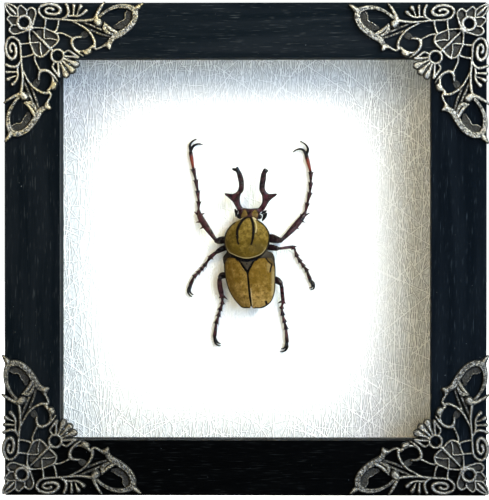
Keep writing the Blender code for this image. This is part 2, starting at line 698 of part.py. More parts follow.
LEFT_HORN = [
    (-2.3, 11.8), (-0.9, 12.3), (-1.9, 13.8), (-2.2, 15.6), (-1.9, 17.2), (-1.05, 18.5), (-0.9, 21.0),
    (-1.3, 23.0), (-2.2, 24.8), (-2.85, 25.75), (-3.3, 25.3), (-4.3, 25.3), (-4.2, 24.85), (-3.1, 24.2),
    (-2.65, 22.6), (-2.2, 20.2), (-2.5, 18.5), (-3.1, 17.7), (-4.4, 17.15), (-6.7, 17.35), (-5.6, 16.2),
    (-4.2, 14.9), (-3.4, 13.5), (-2.8, 12.4),
]
RIGHT_HORN = [
    (5.3, 12.2), (6.2, 13.5), (7.0, 14.9), (8.3, 16.1), (9.5, 17.2), (7.2, 17.15), (6.2, 17.9),
    (5.7, 19.0), (5.75, 20.3), (6.05, 22.0), (6.15, 23.6), (6.75, 24.5), (6.5, 24.85), (5.7, 25.15),
    (4.9, 23.8), (4.5, 21.8), (4.2, 19.6), (4.3, 18.3), (5.0, 16.9), (5.15, 15.2), (4.8, 13.9),
    (3.7, 12.4), (4.4, 11.7),
]
HORN_T = 1.1
HORN_EDGE = 0.28
HORN_HEIGHT = 4.0
HORN_LIFT = 0.14
HORN_ROOT_Z = 12.0

FOOT_HEIGHT = 0.85
FOOT_W = 0.9


def horn(outline):
    """A flat antler with chamfered edges, rising towards its tip."""
    curve = flat_curve("horn", [outline], HORN_T / 2, HORN_EDGE)
    mesh = mesh_of(curve, "horn")
    for vert in mesh.vertices:
        x, z, front = vert.co
        vert.co = on_paper(x, z, HORN_HEIGHT + front + HORN_LIFT * (z - HORN_ROOT_Z))
    return mesh


def bead(x, z, height, radius):
    bm = bmesh.new()
    place = Matrix.Translation(on_paper(x, z, height))
    bmesh.ops.create_uvsphere(bm, u_segments=8, v_segments=4, radius=radius * MM, matrix=place)
    return mesh_from(bm, "bead")


def body_pieces(shell, horn_look, dark):
    pronotum = pillow("beetle_pronotum", PRONOTUM, (0.3, 3.4), 22, 8, pronotum_height)
    put("beetle_pronotum", pronotum, shell)
    plate = pillow("beetle_scutellum", SCUTELLUM, (0.3, -4.9), 12, 4, plate_height)
    put("beetle_scutellum", plate, dark)
    left = pillow("beetle_elytron_left", LEFT_WING, (-3.2, -9.6), 20, 7, wing_height)
    put("beetle_elytron_left", left, shell)
    right = pillow("beetle_elytron_right", RIGHT_WING, (5.0, -9.9), 20, 7, wing_height)
    put("beetle_elytron_right", right, shell)
    belly = pillow("beetle_underside", BELLY, (0.8, -4.5), 28, 8, belly_height)
    put("beetle_underside", belly, dark)
    skull = pillow("beetle_head", HEAD, (1.0, 11.0), 16, 6, head_height)
    eyes = [bead(-2.4, 10.3, 3.6, 0.75), bead(4.25, 10.1, 3.6, 0.75)]
    fused("beetle_head", [skull, horn(LEFT_HORN), horn(RIGHT_HORN), *eyes], horn_look)


def antennae(look):
    """Short, with a leaved club, tucked beside the head."""
    left_stalk = [(-2.75, 11.3, 3.4, 0.35), (-3.4, 11.4, 3.0, 0.4)]
    left_club = [
        (-3.35, 10.2, 2.6, 0.35), (-3.3, 11.1, 2.9, 0.7), (-3.4, 11.9, 3.1, 0.9), (-3.6, 12.4, 3.1, 0.5),
    ]
    fused("beetle_antenna_left", [tube(left_club, 1), tube(left_stalk, 0)], look)
    stalk = [(4.5, 11.2, 3.4, 0.35), (5.25, 11.2, 3.1, 0.4), (5.25, 10.0, 2.8, 0.4), (5.2, 8.9, 2.6, 0.35)]
    lower = [(5.0, 8.9, 2.7, 0.5), (5.5, 9.7, 2.9, 1.05), (6.0, 10.6, 3.0, 1.05), (6.35, 11.2, 3.0, 0.5)]
    upper = [(5.05, 11.2, 3.1, 0.5), (5.6, 11.6, 3.1, 0.8), (6.25, 11.95, 3.1, 0.45)]
    fused("beetle_antenna_right", [tube(lower, 1), tube(stalk, 0), tube(upper, 1)], look)


def foot(joints):
    """The joints of a foot, which lie on the paper, from (x, z) points."""
    return [(x, z, FOOT_HEIGHT, FOOT_W) for x, z in joints]


def claw(path, width=0.5, height=0.8):
    """A curved hook, tapering to a point along (x, z) points."""
    last = len(path) - 1
    points = []
    for step, (x, z) in enumerate(path):
        points.append((x, z, height - 0.25 * step / last, width * (1 - 0.75 * step / last)))
    return points


def spine(x, z, tip_x, tip_z, height, width=0.75):
    return [(x, z, height, width), (tip_x, tip_z, height, 0.15)]


LEGS = {
    "front_left": {
        "limb": [
            (-6.3, 2.9, 2.4, 1.9), (-7.6, 2.7, 2.8, 2.0), (-8.8, 2.45, 3.2, 1.7), (-9.6, 2.7, 3.5, 1.1),
            (-10.4, 3.7, 3.4, 1.1), (-11.8, 5.6, 2.8, 1.5), (-13.2, 7.6, 2.2, 1.8), (-14.4, 9.5, 1.7, 1.75),
            (-15.1, 11.2, 1.3, 1.3), (-15.2, 12.4, 1.0, 0.7),
        ],
        "foot": [
            (-15.15, 14.8), (-15.5, 18.2), (-16.05, 21.6), (-16.85, 25.1), (-17.85, 28.9), (-17.7, 31.2),
        ],
        "claws": [
            [(-17.7, 31.1), (-17.95, 32.6), (-17.4, 33.7), (-16.6, 34.3), (-15.9, 34.65)],
            [(-17.6, 31.2), (-16.9, 32.4), (-15.8, 33.0), (-14.8, 33.1), (-14.0, 32.9)],
        ],
        "spines": [
            (-13.5, 7.0, -14.8, 6.2, 2.3), (-14.4, 8.6, -16.1, 8.3, 1.9), (-15.0, 10.4, -16.6, 11.7, 1.5),
            (-14.7, 10.6, -13.2, 11.3, 1.5),
        ],
    },
    "front_right": {
        "limb": [
            (6.5, 3.4, 2.4, 2.1), (8.2, 3.2, 2.8, 2.3), (9.8, 2.8, 3.2, 1.8), (10.9, 2.6, 3.5, 1.2),
            (11.9, 3.5, 3.3, 1.2), (13.3, 4.9, 2.8, 1.5), (14.9, 6.6, 2.2, 1.9), (16.4, 8.4, 1.8, 1.85),
            (17.8, 10.2, 1.4, 1.5), (18.6, 11.6, 1.1, 0.8),
        ],
        "foot": [(19.2, 14.3), (20.0, 17.6), (20.3, 20.8), (20.3, 24.1), (19.8, 27.6), (18.8, 30.0)],
        "claws": [
            [(18.9, 29.9), (19.4, 31.2), (19.1, 32.3), (18.3, 33.2), (17.0, 34.0)],
            [(18.7, 30.0), (18.0, 31.1), (17.0, 31.5), (15.8, 31.3), (14.7, 30.6)],
        ],
        "spines": [
            (15.4, 6.9, 16.7, 6.1, 2.2), (16.9, 8.8, 18.7, 8.3, 1.8), (18.0, 10.3, 20.2, 11.4, 1.4),
            (17.5, 9.8, 16.9, 11.2, 1.5),
        ],
    },
    "mid_left": {
        "limb": [
            (-6.5, 0.4, 2.2, 1.6), (-7.8, -0.1, 2.6, 1.5), (-9.3, -0.95, 2.9, 1.25),
            (-10.6, -1.95, 2.4, 1.2), (-11.5, -2.8, 1.9, 1.2), (-12.3, -3.9, 1.2, 0.7),
        ],
        "foot": [(-13.3, -5.3), (-15.2, -7.5), (-16.9, -9.3), (-17.8, -11.6)],
        "claws": [
            [(-17.8, -11.5), (-18.55, -13.2), (-18.2, -14.5), (-17.3, -15.3)],
            [(-17.7, -11.6), (-18.0, -13.2), (-17.6, -14.1), (-16.9, -14.6)],
        ],
        "spines": [(-11.2, -2.4, -12.4, -2.5, 2.0), (-11.3, -2.8, -10.5, -3.4, 2.0)],
    },
    "mid_right": {
        "limb": [
            (6.5, 0.6, 2.2, 1.5), (8.2, 0.35, 2.6, 1.5), (9.6, 0.1, 2.9, 1.3), (10.7, 0.1, 2.9, 0.95),
            (12.6, 0.35, 2.5, 0.95), (14.4, 0.5, 2.0, 1.05), (15.1, 0.0, 1.5, 0.8), (15.4, -0.9, 1.1, 0.65),
        ],
        "foot": [(15.9, -2.3), (17.3, -4.5), (18.8, -6.4), (19.95, -8.6), (20.15, -10.1)],
        "claws": [
            [(20.0, -10.0), (21.1, -10.8), (21.4, -11.8), (21.1, -12.7), (20.3, -13.0)],
            [(20.0, -10.1), (20.6, -11.0), (20.8, -11.7), (20.5, -12.3), (19.9, -12.4)],
        ],
        "spines": [(14.6, 0.6, 15.9, 0.75, 2.0), (14.8, 0.2, 14.1, -0.35, 1.9)],
    },
    "hind_left": {
        "limb": [
            (-6.7, -8.4, 2.2, 2.0), (-7.7, -8.5, 2.8, 2.1), (-8.4, -9.1, 3.1, 1.7),
            (-8.5, -10.3, 3.0, 1.6), (-8.35, -12.2, 2.5, 1.7), (-8.0, -14.0, 2.0, 1.6),
            (-7.7, -15.4, 1.6, 1.2), (-7.65, -16.3, 1.2, 0.7),
        ],
        "foot": [(-7.7, -17.4), (-8.4, -19.4), (-8.9, -21.3), (-9.6, -23.6), (-10.2, -26.6), (-10.15, -28.2)],
        "claws": [
            [(-10.1, -28.1), (-10.0, -29.5), (-9.4, -30.4), (-8.1, -30.75)],
            [(-10.1, -28.0), (-9.6, -29.1), (-9.0, -29.8), (-8.2, -30.0)],
        ],
        "spines": [(-7.6, -14.7, -6.0, -16.1, 1.8), (-8.0, -15.0, -8.8, -15.7, 1.7)],
    },
    "hind_right": {
        "limb": [
            (8.7, -9.6, 2.2, 2.1), (9.8, -10.1, 2.8, 2.2), (10.9, -11.0, 3.1, 1.5),
            (11.1, -12.0, 3.0, 1.2), (11.25, -13.6, 2.4, 1.2), (11.4, -15.4, 2.0, 1.2),
            (11.5, -16.8, 1.6, 1.2), (11.3, -17.7, 1.2, 0.7),
        ],
        "foot": [(11.1, -18.8), (11.4, -21.0), (12.0, -23.2), (12.5, -25.4), (13.1, -28.0), (12.75, -29.9)],
        "claws": [
            [(12.7, -29.8), (12.9, -31.0), (12.4, -32.0), (11.6, -32.5), (10.6, -32.6)],
            [(12.7, -29.8), (12.3, -30.9), (11.8, -31.5), (11.0, -31.7)],
        ],
        "spines": [(11.4, -16.5, 9.8, -17.3, 1.6), (11.6, -16.6, 12.4, -17.5, 1.6)],
    },
}


def legs(look):
    for name, leg in LEGS.items():
        limb = tube(leg["limb"] + foot(leg["foot"]), 1)
        hooks = [tube(claw(path), 0) for path in leg["claws"]]
        spines = [tube(spine(*place), 0) for place in leg["spines"]]
        fused("beetle_leg_" + name, [limb, *hooks, *spines], look)


def main():
    for obj in list(bpy.data.objects):
        bpy.data.objects.remove(obj)
    wood = material("black_wood", (0.012, 0.014, 0.016), 0.45)
    steel = material("plain_steel", (0.55, 0.54, 0.5), 0.35, 1.0)
    silver = material("antique_silver", (0.42, 0.41, 0.37), 0.4, 1.0)
    glass = material("clear_glass", (0.95, 0.97, 0.97), 0.02, alpha=0.15)
    lining = material("black_lining", (0.02, 0.022, 0.026), 0.7)
    paper = material("white_paper", (0.85, 0.86, 0.84), 0.9)
    board = material("brown_board", (0.32, 0.21, 0.12), 0.8)
    ochre = material("ochre_shell", (0.3, 0.22, 0.08), 0.55)
    maroon = material("maroon_horn", (0.05, 0.02, 0.02), 0.35)
    grey = material("dark_chitin", (0.04, 0.04, 0.038), 0.5)
    top_rail = frame_pieces(wood, steel)
    card_and_board(*glass_and_lining(glass, lining), paper, board)
    hanger(top_rail, steel)
    castings(silver)
    body_pieces(ochre, maroon, grey)
    antennae(grey)
    legs(maroon)


main()
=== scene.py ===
"""The looks of a framed beetle: fine forms, finishes, light and camera.

Objects are in metres in the model's own frame. Points, widths and sizes in lists are in millimetres.
"""

import json
from math import cos, hypot, pi, radians, sin

import bpy
import numpy as np
from mathutils import Matrix, Vector

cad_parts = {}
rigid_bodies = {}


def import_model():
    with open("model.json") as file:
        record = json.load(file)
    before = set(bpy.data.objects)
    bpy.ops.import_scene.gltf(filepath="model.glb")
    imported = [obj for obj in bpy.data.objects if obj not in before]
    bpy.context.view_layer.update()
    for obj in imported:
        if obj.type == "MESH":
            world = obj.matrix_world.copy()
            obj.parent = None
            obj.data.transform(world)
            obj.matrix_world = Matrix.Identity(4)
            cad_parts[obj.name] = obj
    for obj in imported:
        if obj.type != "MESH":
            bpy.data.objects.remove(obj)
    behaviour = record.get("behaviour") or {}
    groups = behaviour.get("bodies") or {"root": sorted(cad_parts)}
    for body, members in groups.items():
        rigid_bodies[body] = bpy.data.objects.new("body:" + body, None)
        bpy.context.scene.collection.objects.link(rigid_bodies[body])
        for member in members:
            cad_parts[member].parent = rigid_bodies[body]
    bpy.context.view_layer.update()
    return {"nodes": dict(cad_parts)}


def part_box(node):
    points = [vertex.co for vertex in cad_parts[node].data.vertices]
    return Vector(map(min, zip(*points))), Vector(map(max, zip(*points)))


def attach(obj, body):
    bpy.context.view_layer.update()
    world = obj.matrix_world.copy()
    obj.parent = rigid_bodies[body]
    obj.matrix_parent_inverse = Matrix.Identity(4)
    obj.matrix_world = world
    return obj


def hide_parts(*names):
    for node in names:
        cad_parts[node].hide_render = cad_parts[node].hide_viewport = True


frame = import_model()

MM = 0.001

# The photograph's frame, and the camera that took it
PHOTO_W, PHOTO_H = 489, 500
SENSOR_W = 36.0
MM_PER_PIXEL = 0.3111
CAMERA_DISTANCE = 1.19
CAMERA_RIGHT = 0.025
CAMERA_UP = 0.0095
FRAME_PIXEL = (245.35, 249.15)

card_low, card_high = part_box("display_card")
rail_low, rail_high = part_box("rail_bottom")
PAPER_Y = card_low.y
FRONT_Y = rail_low.y
CENTRE_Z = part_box("rail_top")[1].z / 2


# Points, paths and distances, in millimetres

def smooth_path(points, steps=8):
    """More points on a smooth curve through the given ones."""
    given = np.array(points, float)
    before = np.vstack([2 * given[:1] - given[1:2], given[:-2]])
    after = np.vstack([given[2:], 2 * given[-1:] - given[-2:-1]])
    made = []
    for p0, p1, p2, p3 in zip(before, given[:-1], given[1:], after):
        for t in np.arange(steps) / steps:
            bend = (2 * p0 - 5 * p1 + 4 * p2 - p3) * t * t + (3 * p1 - p0 - 3 * p2 + p3) * t ** 3
            made.append((2 * p1 + (p2 - p0) * t + bend) / 2)
    return np.array([*made, given[-1]])


def area_of(outline):
    """Positive where the outline runs anticlockwise."""
    x, y = np.array(outline, float).T
    return (np.dot(x, np.roll(y, -1)) - np.dot(y, np.roll(x, -1))) / 2


def even_outline(outline, count):
    """A closed smooth outline as evenly spaced points, anticlockwise."""
    given = np.array(outline if area_of(outline) > 0 else outline[::-1], float)
    steps = 12
    path = smooth_path(np.vstack([given[-1:], given, given[:2]]), steps)
    path = path[steps:steps * (len(given) + 1) + 1]
    along = np.concatenate([[0], np.cumsum(np.hypot(*np.diff(path, axis=0).T))])
    marks = np.arange(count) * along[-1] / count
    return np.column_stack([np.interp(marks, along, path[:, axis]) for axis in (0, 1)])


def to_line(x, z, line):
    """The distance from each point to a line through (x, z) points, and how far along it, from 0 to 1."""
    line = np.asarray(line, float)
    nearest = np.full(np.shape(x), 1e9)
    along = np.zeros(np.shape(x))
    last = len(line) - 1
    for step, ((x0, z0), (x1, z1)) in enumerate(zip(line[:-1, :2], line[1:, :2])):
        dx, dz = x1 - x0, z1 - z0
        t = np.clip(((x - x0) * dx + (z - z0) * dz) / max(dx * dx + dz * dz, 1e-9), 0, 1)
        gap = np.hypot(x - x0 - t * dx, z - z0 - t * dz)
        closer = gap < nearest
        nearest = np.where(closer, gap, nearest)
        along = np.where(closer, (step + t) / last, along)
    return nearest, along


def to_outline(x, z, outline):
    """The distance to a closed outline, negative inside it."""
    outline = np.asarray(outline, float)
    closed = np.vstack([outline, outline[:1]])
    gap = to_line(x, z, closed)[0]
    inside = np.zeros(np.shape(x), bool)
    for (x0, z0), (x1, z1) in zip(closed[:-1], closed[1:]):
        if z0 != z1:
            crosses = (z0 > z) != (z1 > z)
            inside ^= crosses & (x < x0 + (z - z0) * (x1 - x0) / (z1 - z0))
    return np.where(inside, -gap, gap)


def soft(value, edge, width):
    """1 well below the edge and 0 well above it."""
    t = np.clip((edge + width / 2 - value) / width, 0, 1)
    return t * t * (3 - 2 * t)


def stroke(x, z, line, width, blur=0.14):
    """A painted stroke: 1 on it and 0 off it."""
    return soft(to_line(x, z, smooth_path(line, 4))[0], width / 2, blur)


def patch(x, z, outline, blur=0.2):
    """A painted area: 1 inside its outline and 0 outside it."""
    return soft(to_outline(x, z, even_outline(outline, 60)), 0, blur)


def on_paper(x, z, height):
    """World points from millimetres right and up from the frame's middle, and off the paper."""
    return np.column_stack([
        np.asarray(x) * MM, PAPER_Y - np.asarray(height) * MM, CENTRE_Z + np.asarray(z) * MM,
    ])


# Objects

def link(made):
    """Puts a new object in the scene."""
    bpy.context.scene.collection.objects.link(made)
    return made


def piece(name, mesh, look, stands_for=(), masks=None, sharp=None, matrix=None):
    """A finished piece that rides on the frame and may stand for CAD nodes."""
    made = link(bpy.data.objects.new(name, mesh))
    if matrix:
        made.matrix_world = matrix
    mesh.materials.append(look)
    if sharp is not None:
        mesh.shade_smooth()
        mesh.set_sharp_from_angle(angle=radians(sharp))
    for label, values in (masks or {}).items():
        attribute = mesh.attributes.new(label, "FLOAT", "POINT")
        attribute.data.foreach_set("value", np.asarray(values, np.float32).ravel())
    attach(made, "root")
    if stands_for:
        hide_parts(*stands_for)


def mesh_of(name, points, faces):
    mesh = bpy.data.meshes.new(name)
    mesh.from_pydata(np.asarray(points).tolist(), [], faces)
    return mesh


def squares(number):
    """The corners of each cell of a grid of point numbers."""
    return np.stack([number[:-1, :-1], number[:-1, 1:], number[1:, 1:], number[1:, :-1]], axis=-1)


def capped_rings(rings, segments):
    """The faces of rings of points between a first and a last point."""
    loops = 1 + np.arange(rings * segments).reshape(rings, segments)
    nexts = np.roll(loops, -1, axis=1)
    quads = np.stack([loops[:-1], loops[1:], nexts[1:], nexts[:-1]], axis=-1).reshape(-1, 4)
    last = 1 + rings * segments
    first_fan = [[0, a, b] for a, b in zip(loops[0].tolist(), nexts[0].tolist())]
    last_fan = [[last, b, a] for a, b in zip(loops[-1].tolist(), nexts[-1].tolist())]
    return quads.tolist() + first_fan + last_fan


def places(mesh):
    """The mesh's points as millimetres right and up from the frame's middle, and off the paper."""
    flat = np.empty(len(mesh.vertices) * 3, np.float32)
    mesh.vertices.foreach_get("co", flat)
    x, y, z = flat.reshape(-1, 3).astype(float).T
    return x / MM, (z - CENTRE_Z) / MM, (PAPER_Y - y) / MM


def union(name, meshes):
    """One mesh from overlapping closed meshes."""
    base = link(bpy.data.objects.new(name, meshes[0]))
    others = bpy.data.collections.new(name + "_others")
    for mesh in meshes[1:]:
        others.objects.link(bpy.data.objects.new(name, mesh))
    join = base.modifiers.new("join", "BOOLEAN")
    join.operation = "UNION"
    join.operand_type = "COLLECTION"
    join.solver = "EXACT"
    join.use_self = True
    join.collection = others
    graph = bpy.context.evaluated_depsgraph_get()
    whole = bpy.data.meshes.new_from_object(base.evaluated_get(graph))
    for extra in [base, *others.objects]:
        bpy.data.objects.remove(extra)
    bpy.data.collections.remove(others)
    whole.name = name
    whole.materials.clear()
    return whole


# Shader nodes

def feed(tree, socket, value):
    """Gives a socket a link, a colour or another plain value."""
    if isinstance(value, bpy.types.NodeSocket):
        tree.links.new(value, socket)
    elif socket.type == "RGBA":
        socket.default_value = (*value, 1.0)
    else:
        socket.default_value = value


def fill(look, **sockets):
    """Links and plain values for the sockets of a look's shader."""
    tree = look.node_tree
    for label, value in sockets.items():
        name = label.replace("_", " ").title().replace("Ior", "IOR")
        feed(tree, tree.nodes["Principled BSDF"].inputs[name], value)
    return look


def new_look(name, **sockets):
    made = bpy.data.materials.new(name)
    made.use_nodes = True
    return fill(made, **sockets), made.node_tree


def node(tree, kind, inputs=None, **settings):
    made = tree.nodes.new("ShaderNode" + kind)
    for label, value in settings.items():
        setattr(made, label, value)
    for label, value in (inputs or {}).items():
        feed(tree, made.inputs[label], value)
    return made


def mix(tree, factor, first, second):
    """Colours or links mixed. Mix has its colour sockets after its number and vector ones."""
    return node(tree, "Mix", {0: factor, 6: first, 7: second}, data_type="RGBA").outputs[2]


def ramp(tree, factor, low, high, first=0.0, second=1.0):
    """A smooth change from one value to another between two levels."""
    levels = {"Value": factor, "From Min": low, "From Max": high, "To Min": first, "To Max": second}
    return node(tree, "MapRange", levels, interpolation_type="SMOOTHSTEP").outputs["Result"]


def maths(tree, operation, first, second=0.0):
    return node(tree, "Math", {0: first, 1: second}, operation=operation).outputs[0]


def plus(tree, first, second):
    return maths(tree, "ADD", first, second)


def times(tree, first, second):
    return maths(tree, "MULTIPLY", first, second)


def about_zero(tree, value, gain):
    """A value from 0 to 1 as one about 0, with a gain."""
    return times(tree, maths(tree, "SUBTRACT", value, 0.5), gain)


def grain(tree, right, deep, up, turn=0.0):
    """Object coordinates for features of this size in millimetres along each axis, turned about Y."""
    where = node(tree, "TexCoord").outputs["Object"]
    inputs = {"Vector": where, "Scale": (right * MM, deep * MM, up * MM), "Rotation": (0, turn, 0)}
    return node(tree, "Mapping", inputs, vector_type="TEXTURE").outputs["Vector"]


def even(tree, size):
    return grain(tree, size, size, size)


def noise(tree, where, detail=3.0, roughness=0.55, distortion=0.0):
    shape = {"Detail": detail, "Roughness": roughness, "Distortion": distortion}
    return node(tree, "TexNoise", {"Vector": where, "Scale": 1.0, **shape}).outputs["Fac"]


def mask(tree, label):
    return node(tree, "Attribute", attribute_name=label).outputs["Fac"]


def bump(tree, height, depth, strength=1.0):
    """Normals for a relief, with its depth in millimetres."""
    made = node(tree, "Bump", {"Height": height, "Distance": depth * MM, "Strength": strength})
    return made.outputs["Normal"]


# Finishes

def black_wood(name, along, painted_light_level, painted_cool_tint=1.0):
    """Open-grained wood stained black. The grain runs along one axis, 0 for X or 2 for Z."""
    look, tree = new_look(name, roughness=0.5, specular_ior_level=0.02)
    tints = ((0.0020, 0.0040, 0.0064), (0.0055, 0.0080, 0.0112), (0.030, 0.036, 0.041))
    # painted light and shade: the painted light level and painted cool tint make each rail's copy of the
    # wood brighter or darker and cooler or warmer
    deep, pale, pore = (
        (share * red / painted_cool_tint, share * green, share * blue * painted_cool_tint)
        for (red, green, blue), share in zip(tints, (painted_light_level, painted_light_level, 0.25 + 0.9 * painted_light_level))
    )

    def along_grain(length, across):
        return grain(tree, *(length if axis == along else across for axis in (0, 1, 2)))

    pores = noise(tree, along_grain(5.0, 0.34), detail=1.5)
    figure = noise(tree, along_grain(50.0, 3.5), distortion=0.4)
    dust = noise(tree, even(tree, 0.6), detail=1.0)
    stain = mix(tree, ramp(tree, figure, 0.35, 0.7), deep, pale)
    worn = mix(tree, times(tree, ramp(tree, pores, 0.60, 0.74), 0.6), stain, pore)
    height = plus(tree, pores, times(tree, figure, 0.4))
    return fill(
        look, base_color=mix(tree, ramp(tree, dust, 0.80, 0.84), worn, (0.10, 0.11, 0.12)),
        roughness=ramp(tree, pores, 0.4, 0.7, 0.42, 0.65), normal=bump(tree, height, 0.08, 0.7),
    )


def black_lining():
    look, tree = new_look("black_lining", roughness=0.75, specular_ior_level=0.04)
    felt = noise(tree, even(tree, 1.1), detail=4.0)
    tone = mix(tree, felt, (0.002, 0.003, 0.004), (0.005, 0.007, 0.009))
    return fill(look, base_color=tone, normal=bump(tree, felt, 0.06, 0.5))


def clear_glass():
    look, tree = new_look(
        "clear_glass", base_color=(0.97, 0.985, 0.98), roughness=0.02, ior=1.45, transmission_weight=1.0,
    )
    haze = noise(tree, even(tree, 25), detail=2.0)
    return fill(look, roughness=ramp(tree, haze, 0.3, 0.8, 0.0, 0.012))


FINE_CREASES = (
    # one in each cell: spacing, length, turn from upright, share of cells without one, weight
    (1.4, 12.0, 0.03, 0.28, 0.95), (1.6, 14.0, -0.14, 0.32, 0.95), (1.8, 11.0, 0.20, 0.38, 0.9),
    (2.2, 9.0, -0.42, 0.48, 0.9), (2.3, 9.5, 0.60, 0.52, 0.9), (5.2, 20.0, 0.98, 0.55, 1.1),
    (5.6, 21.0, -0.85, 0.50, 1.1), (3.0, 8.0, 1.25, 0.56, 0.85), (3.1, 7.5, -1.40, 0.58, 0.85),
)
# How far a fine crease reaches to each side
FOLD_REACH = 0.36


def fine_creases(tree, sheet):
    """Straight creases of several sizes, each fading out to its sides."""
    height = 0.0
    for spacing, length, turn, bare, weight in FINE_CREASES:
        inputs = {"Vector": sheet, "Scale": (spacing * MM, length * MM, 1), "Rotation": (0, 0, turn)}
        where = node(tree, "Mapping", inputs, vector_type="TEXTURE").outputs["Vector"]
        cells = node(tree, "TexVoronoi", {"Vector": where, "Scale": 1.0}, voronoi_dimensions="2D").outputs
        gap = node(tree, "VectorMath", {0: where, 1: cells["Position"]}, operation="SUBTRACT")
        gap = node(tree, "SeparateXYZ", {"Vector": gap.outputs["Vector"]}).outputs
        chance = node(tree, "SeparateColor", {"Color": cells["Color"]}).outputs
        lean = about_zero(tree, chance["Red"], 1.6)
        off = maths(tree, "ABSOLUTE", plus(tree, gap["X"], times(tree, lean, gap["Y"])))
        reach = FOLD_REACH / spacing
        fade = {"Value": off, "From Min": 0.0, "From Max": reach, "To Min": weight, "To Max": 0.0}
        fold = node(tree, "MapRange", fade).outputs["Result"]
        folded = maths(tree, "GREATER_THAN", chance["Green"], bare)
        height = maths(tree, "MAXIMUM", times(tree, fold, folded), height)
    return height


def white_paper():
    """White paper with fibres and fine creases. Its deep creases are in the mesh."""
    look, tree = new_look("white_paper", roughness=0.85, specular_ior_level=0.15)
    place = node(tree, "SeparateXYZ", {"Vector": node(tree, "TexCoord").outputs["Object"]}).outputs
    sheet = node(tree, "CombineXYZ", {"X": place["X"], "Y": place["Z"]}).outputs["Vector"]
    height = fine_creases(tree, sheet)
    fibres = noise(tree, grain(tree, 0.35, 2.0, 0.8, 0.1), detail=2.0)
    ground = mix(tree, ramp(tree, fibres, 0.35, 0.65), (0.56, 0.57, 0.58), (0.82, 0.825, 0.83))
    # painted shade beside each fine crease, and on the next line a painted highlight along it
    beside = mix(tree, ramp(tree, height, 0.05, 0.35), ground, (0.25, 0.256, 0.266))
    pale = mix(tree, ramp(tree, height, 0.45, 0.70), beside, (0.93, 0.93, 0.93))

    def outward(axis, shift, half):
        """0 at the sheet's middle, and 1 this many millimetres away from it."""
        share = maths(tree, "DIVIDE", plus(tree, place[axis], shift), half * MM)
        return maths(tree, "POWER", maths(tree, "ABSOLUTE", share), 3.0)

    # painted light and shade: towards its middle the sheet is painted plain pale, and towards its borders it
    # is darker, with its painted crease shade and highlights
    out = plus(tree, outward("X", 3 * MM, 45.5), outward("Z", 1 * MM - CENTRE_Z, 48))
    return fill(
        look, base_color=mix(tree, ramp(tree, out, 0.50, 1.90, 0.88, 0.0), pale, (0.93, 0.935, 0.935)),
        normal=bump(tree, plus(tree, height, times(tree, fibres, 0.5)), 0.12),
    )


def antique_silver(name, painted_light_level, gilding, start):
    """Bright on the ridges, dark in the recesses, a little golden towards the outer scrolls."""
    look, tree = new_look(name, metallic=0.85, roughness=0.4)
    tints = ((0.47, 0.46, 0.43), (0.49, 0.425, 0.255))
    # the painted light level makes lit and shaded copies of the metal for the four corners: painted light
    # and shade
    bright, gold = (tuple(painted_light_level * part for part in tint) for tint in tints)
    cast = noise(tree, even(tree, 0.5))
    cloud = noise(tree, even(tree, 3.2))
    gilt = times(tree, mask(tree, "warm"), ramp(tree, cloud, 0.30, 0.68, 0.0, gilding))
    crest = maths(tree, "POWER", mask(tree, "relief"), 4.0)
    wear = plus(tree, crest, about_zero(tree, cast, 2.4))
    metal = mix(tree, gilt, bright, gold)
    return fill(
        look, base_color=mix(tree, ramp(tree, wear, start, 1.0), (0.036, 0.036, 0.034), metal),
        roughness=ramp(tree, wear, 0.3, 0.9, 0.60, 0.36),
        normal=bump(tree, plus(tree, cast, times(tree, cloud, 0.6)), 0.30),
    )


def brown_board():
    """Hardboard: a felted brown face with darker fibres."""
    look, tree = new_look("brown_board", roughness=0.82)
    felt = noise(tree, grain(tree, 0.7, 0.7, 1.1), detail=5.0, distortion=0.8)
    cloud = noise(tree, even(tree, 22))
    flecks = noise(tree, grain(tree, 0.4, 2.5, 1.4, 0.5), detail=2.0)
    base = mix(tree, cloud, (0.15, 0.085, 0.042), (0.21, 0.125, 0.065))
    tone = mix(tree, ramp(tree, felt, 0.35, 0.7), base, (0.26, 0.165, 0.09))
    flecked = mix(tree, ramp(tree, flecks, 0.64, 0.74), tone, (0.07, 0.04, 0.022))
    return fill(look, base_color=flecked, normal=bump(tree, felt, 0.15, 0.6))


def plain_steel():
    """Zinc plated, with a faint spangle and rubbed edges."""
    look, tree = new_look("plain_steel", metallic=1.0, roughness=0.38)
    rub = noise(tree, grain(tree, 3.3, 0.7, 0.35))
    tone = mix(tree, noise(tree, even(tree, 2.8)), (0.50, 0.50, 0.49), (0.66, 0.655, 0.64))
    return fill(
        look, base_color=mix(tree, ramp(tree, rub, 0.62, 0.8), tone, (0.34, 0.31, 0.27)),
        roughness=ramp(tree, rub, 0.3, 0.7, 0.28, 0.5), normal=bump(tree, rub, 0.05, 0.4),
    )


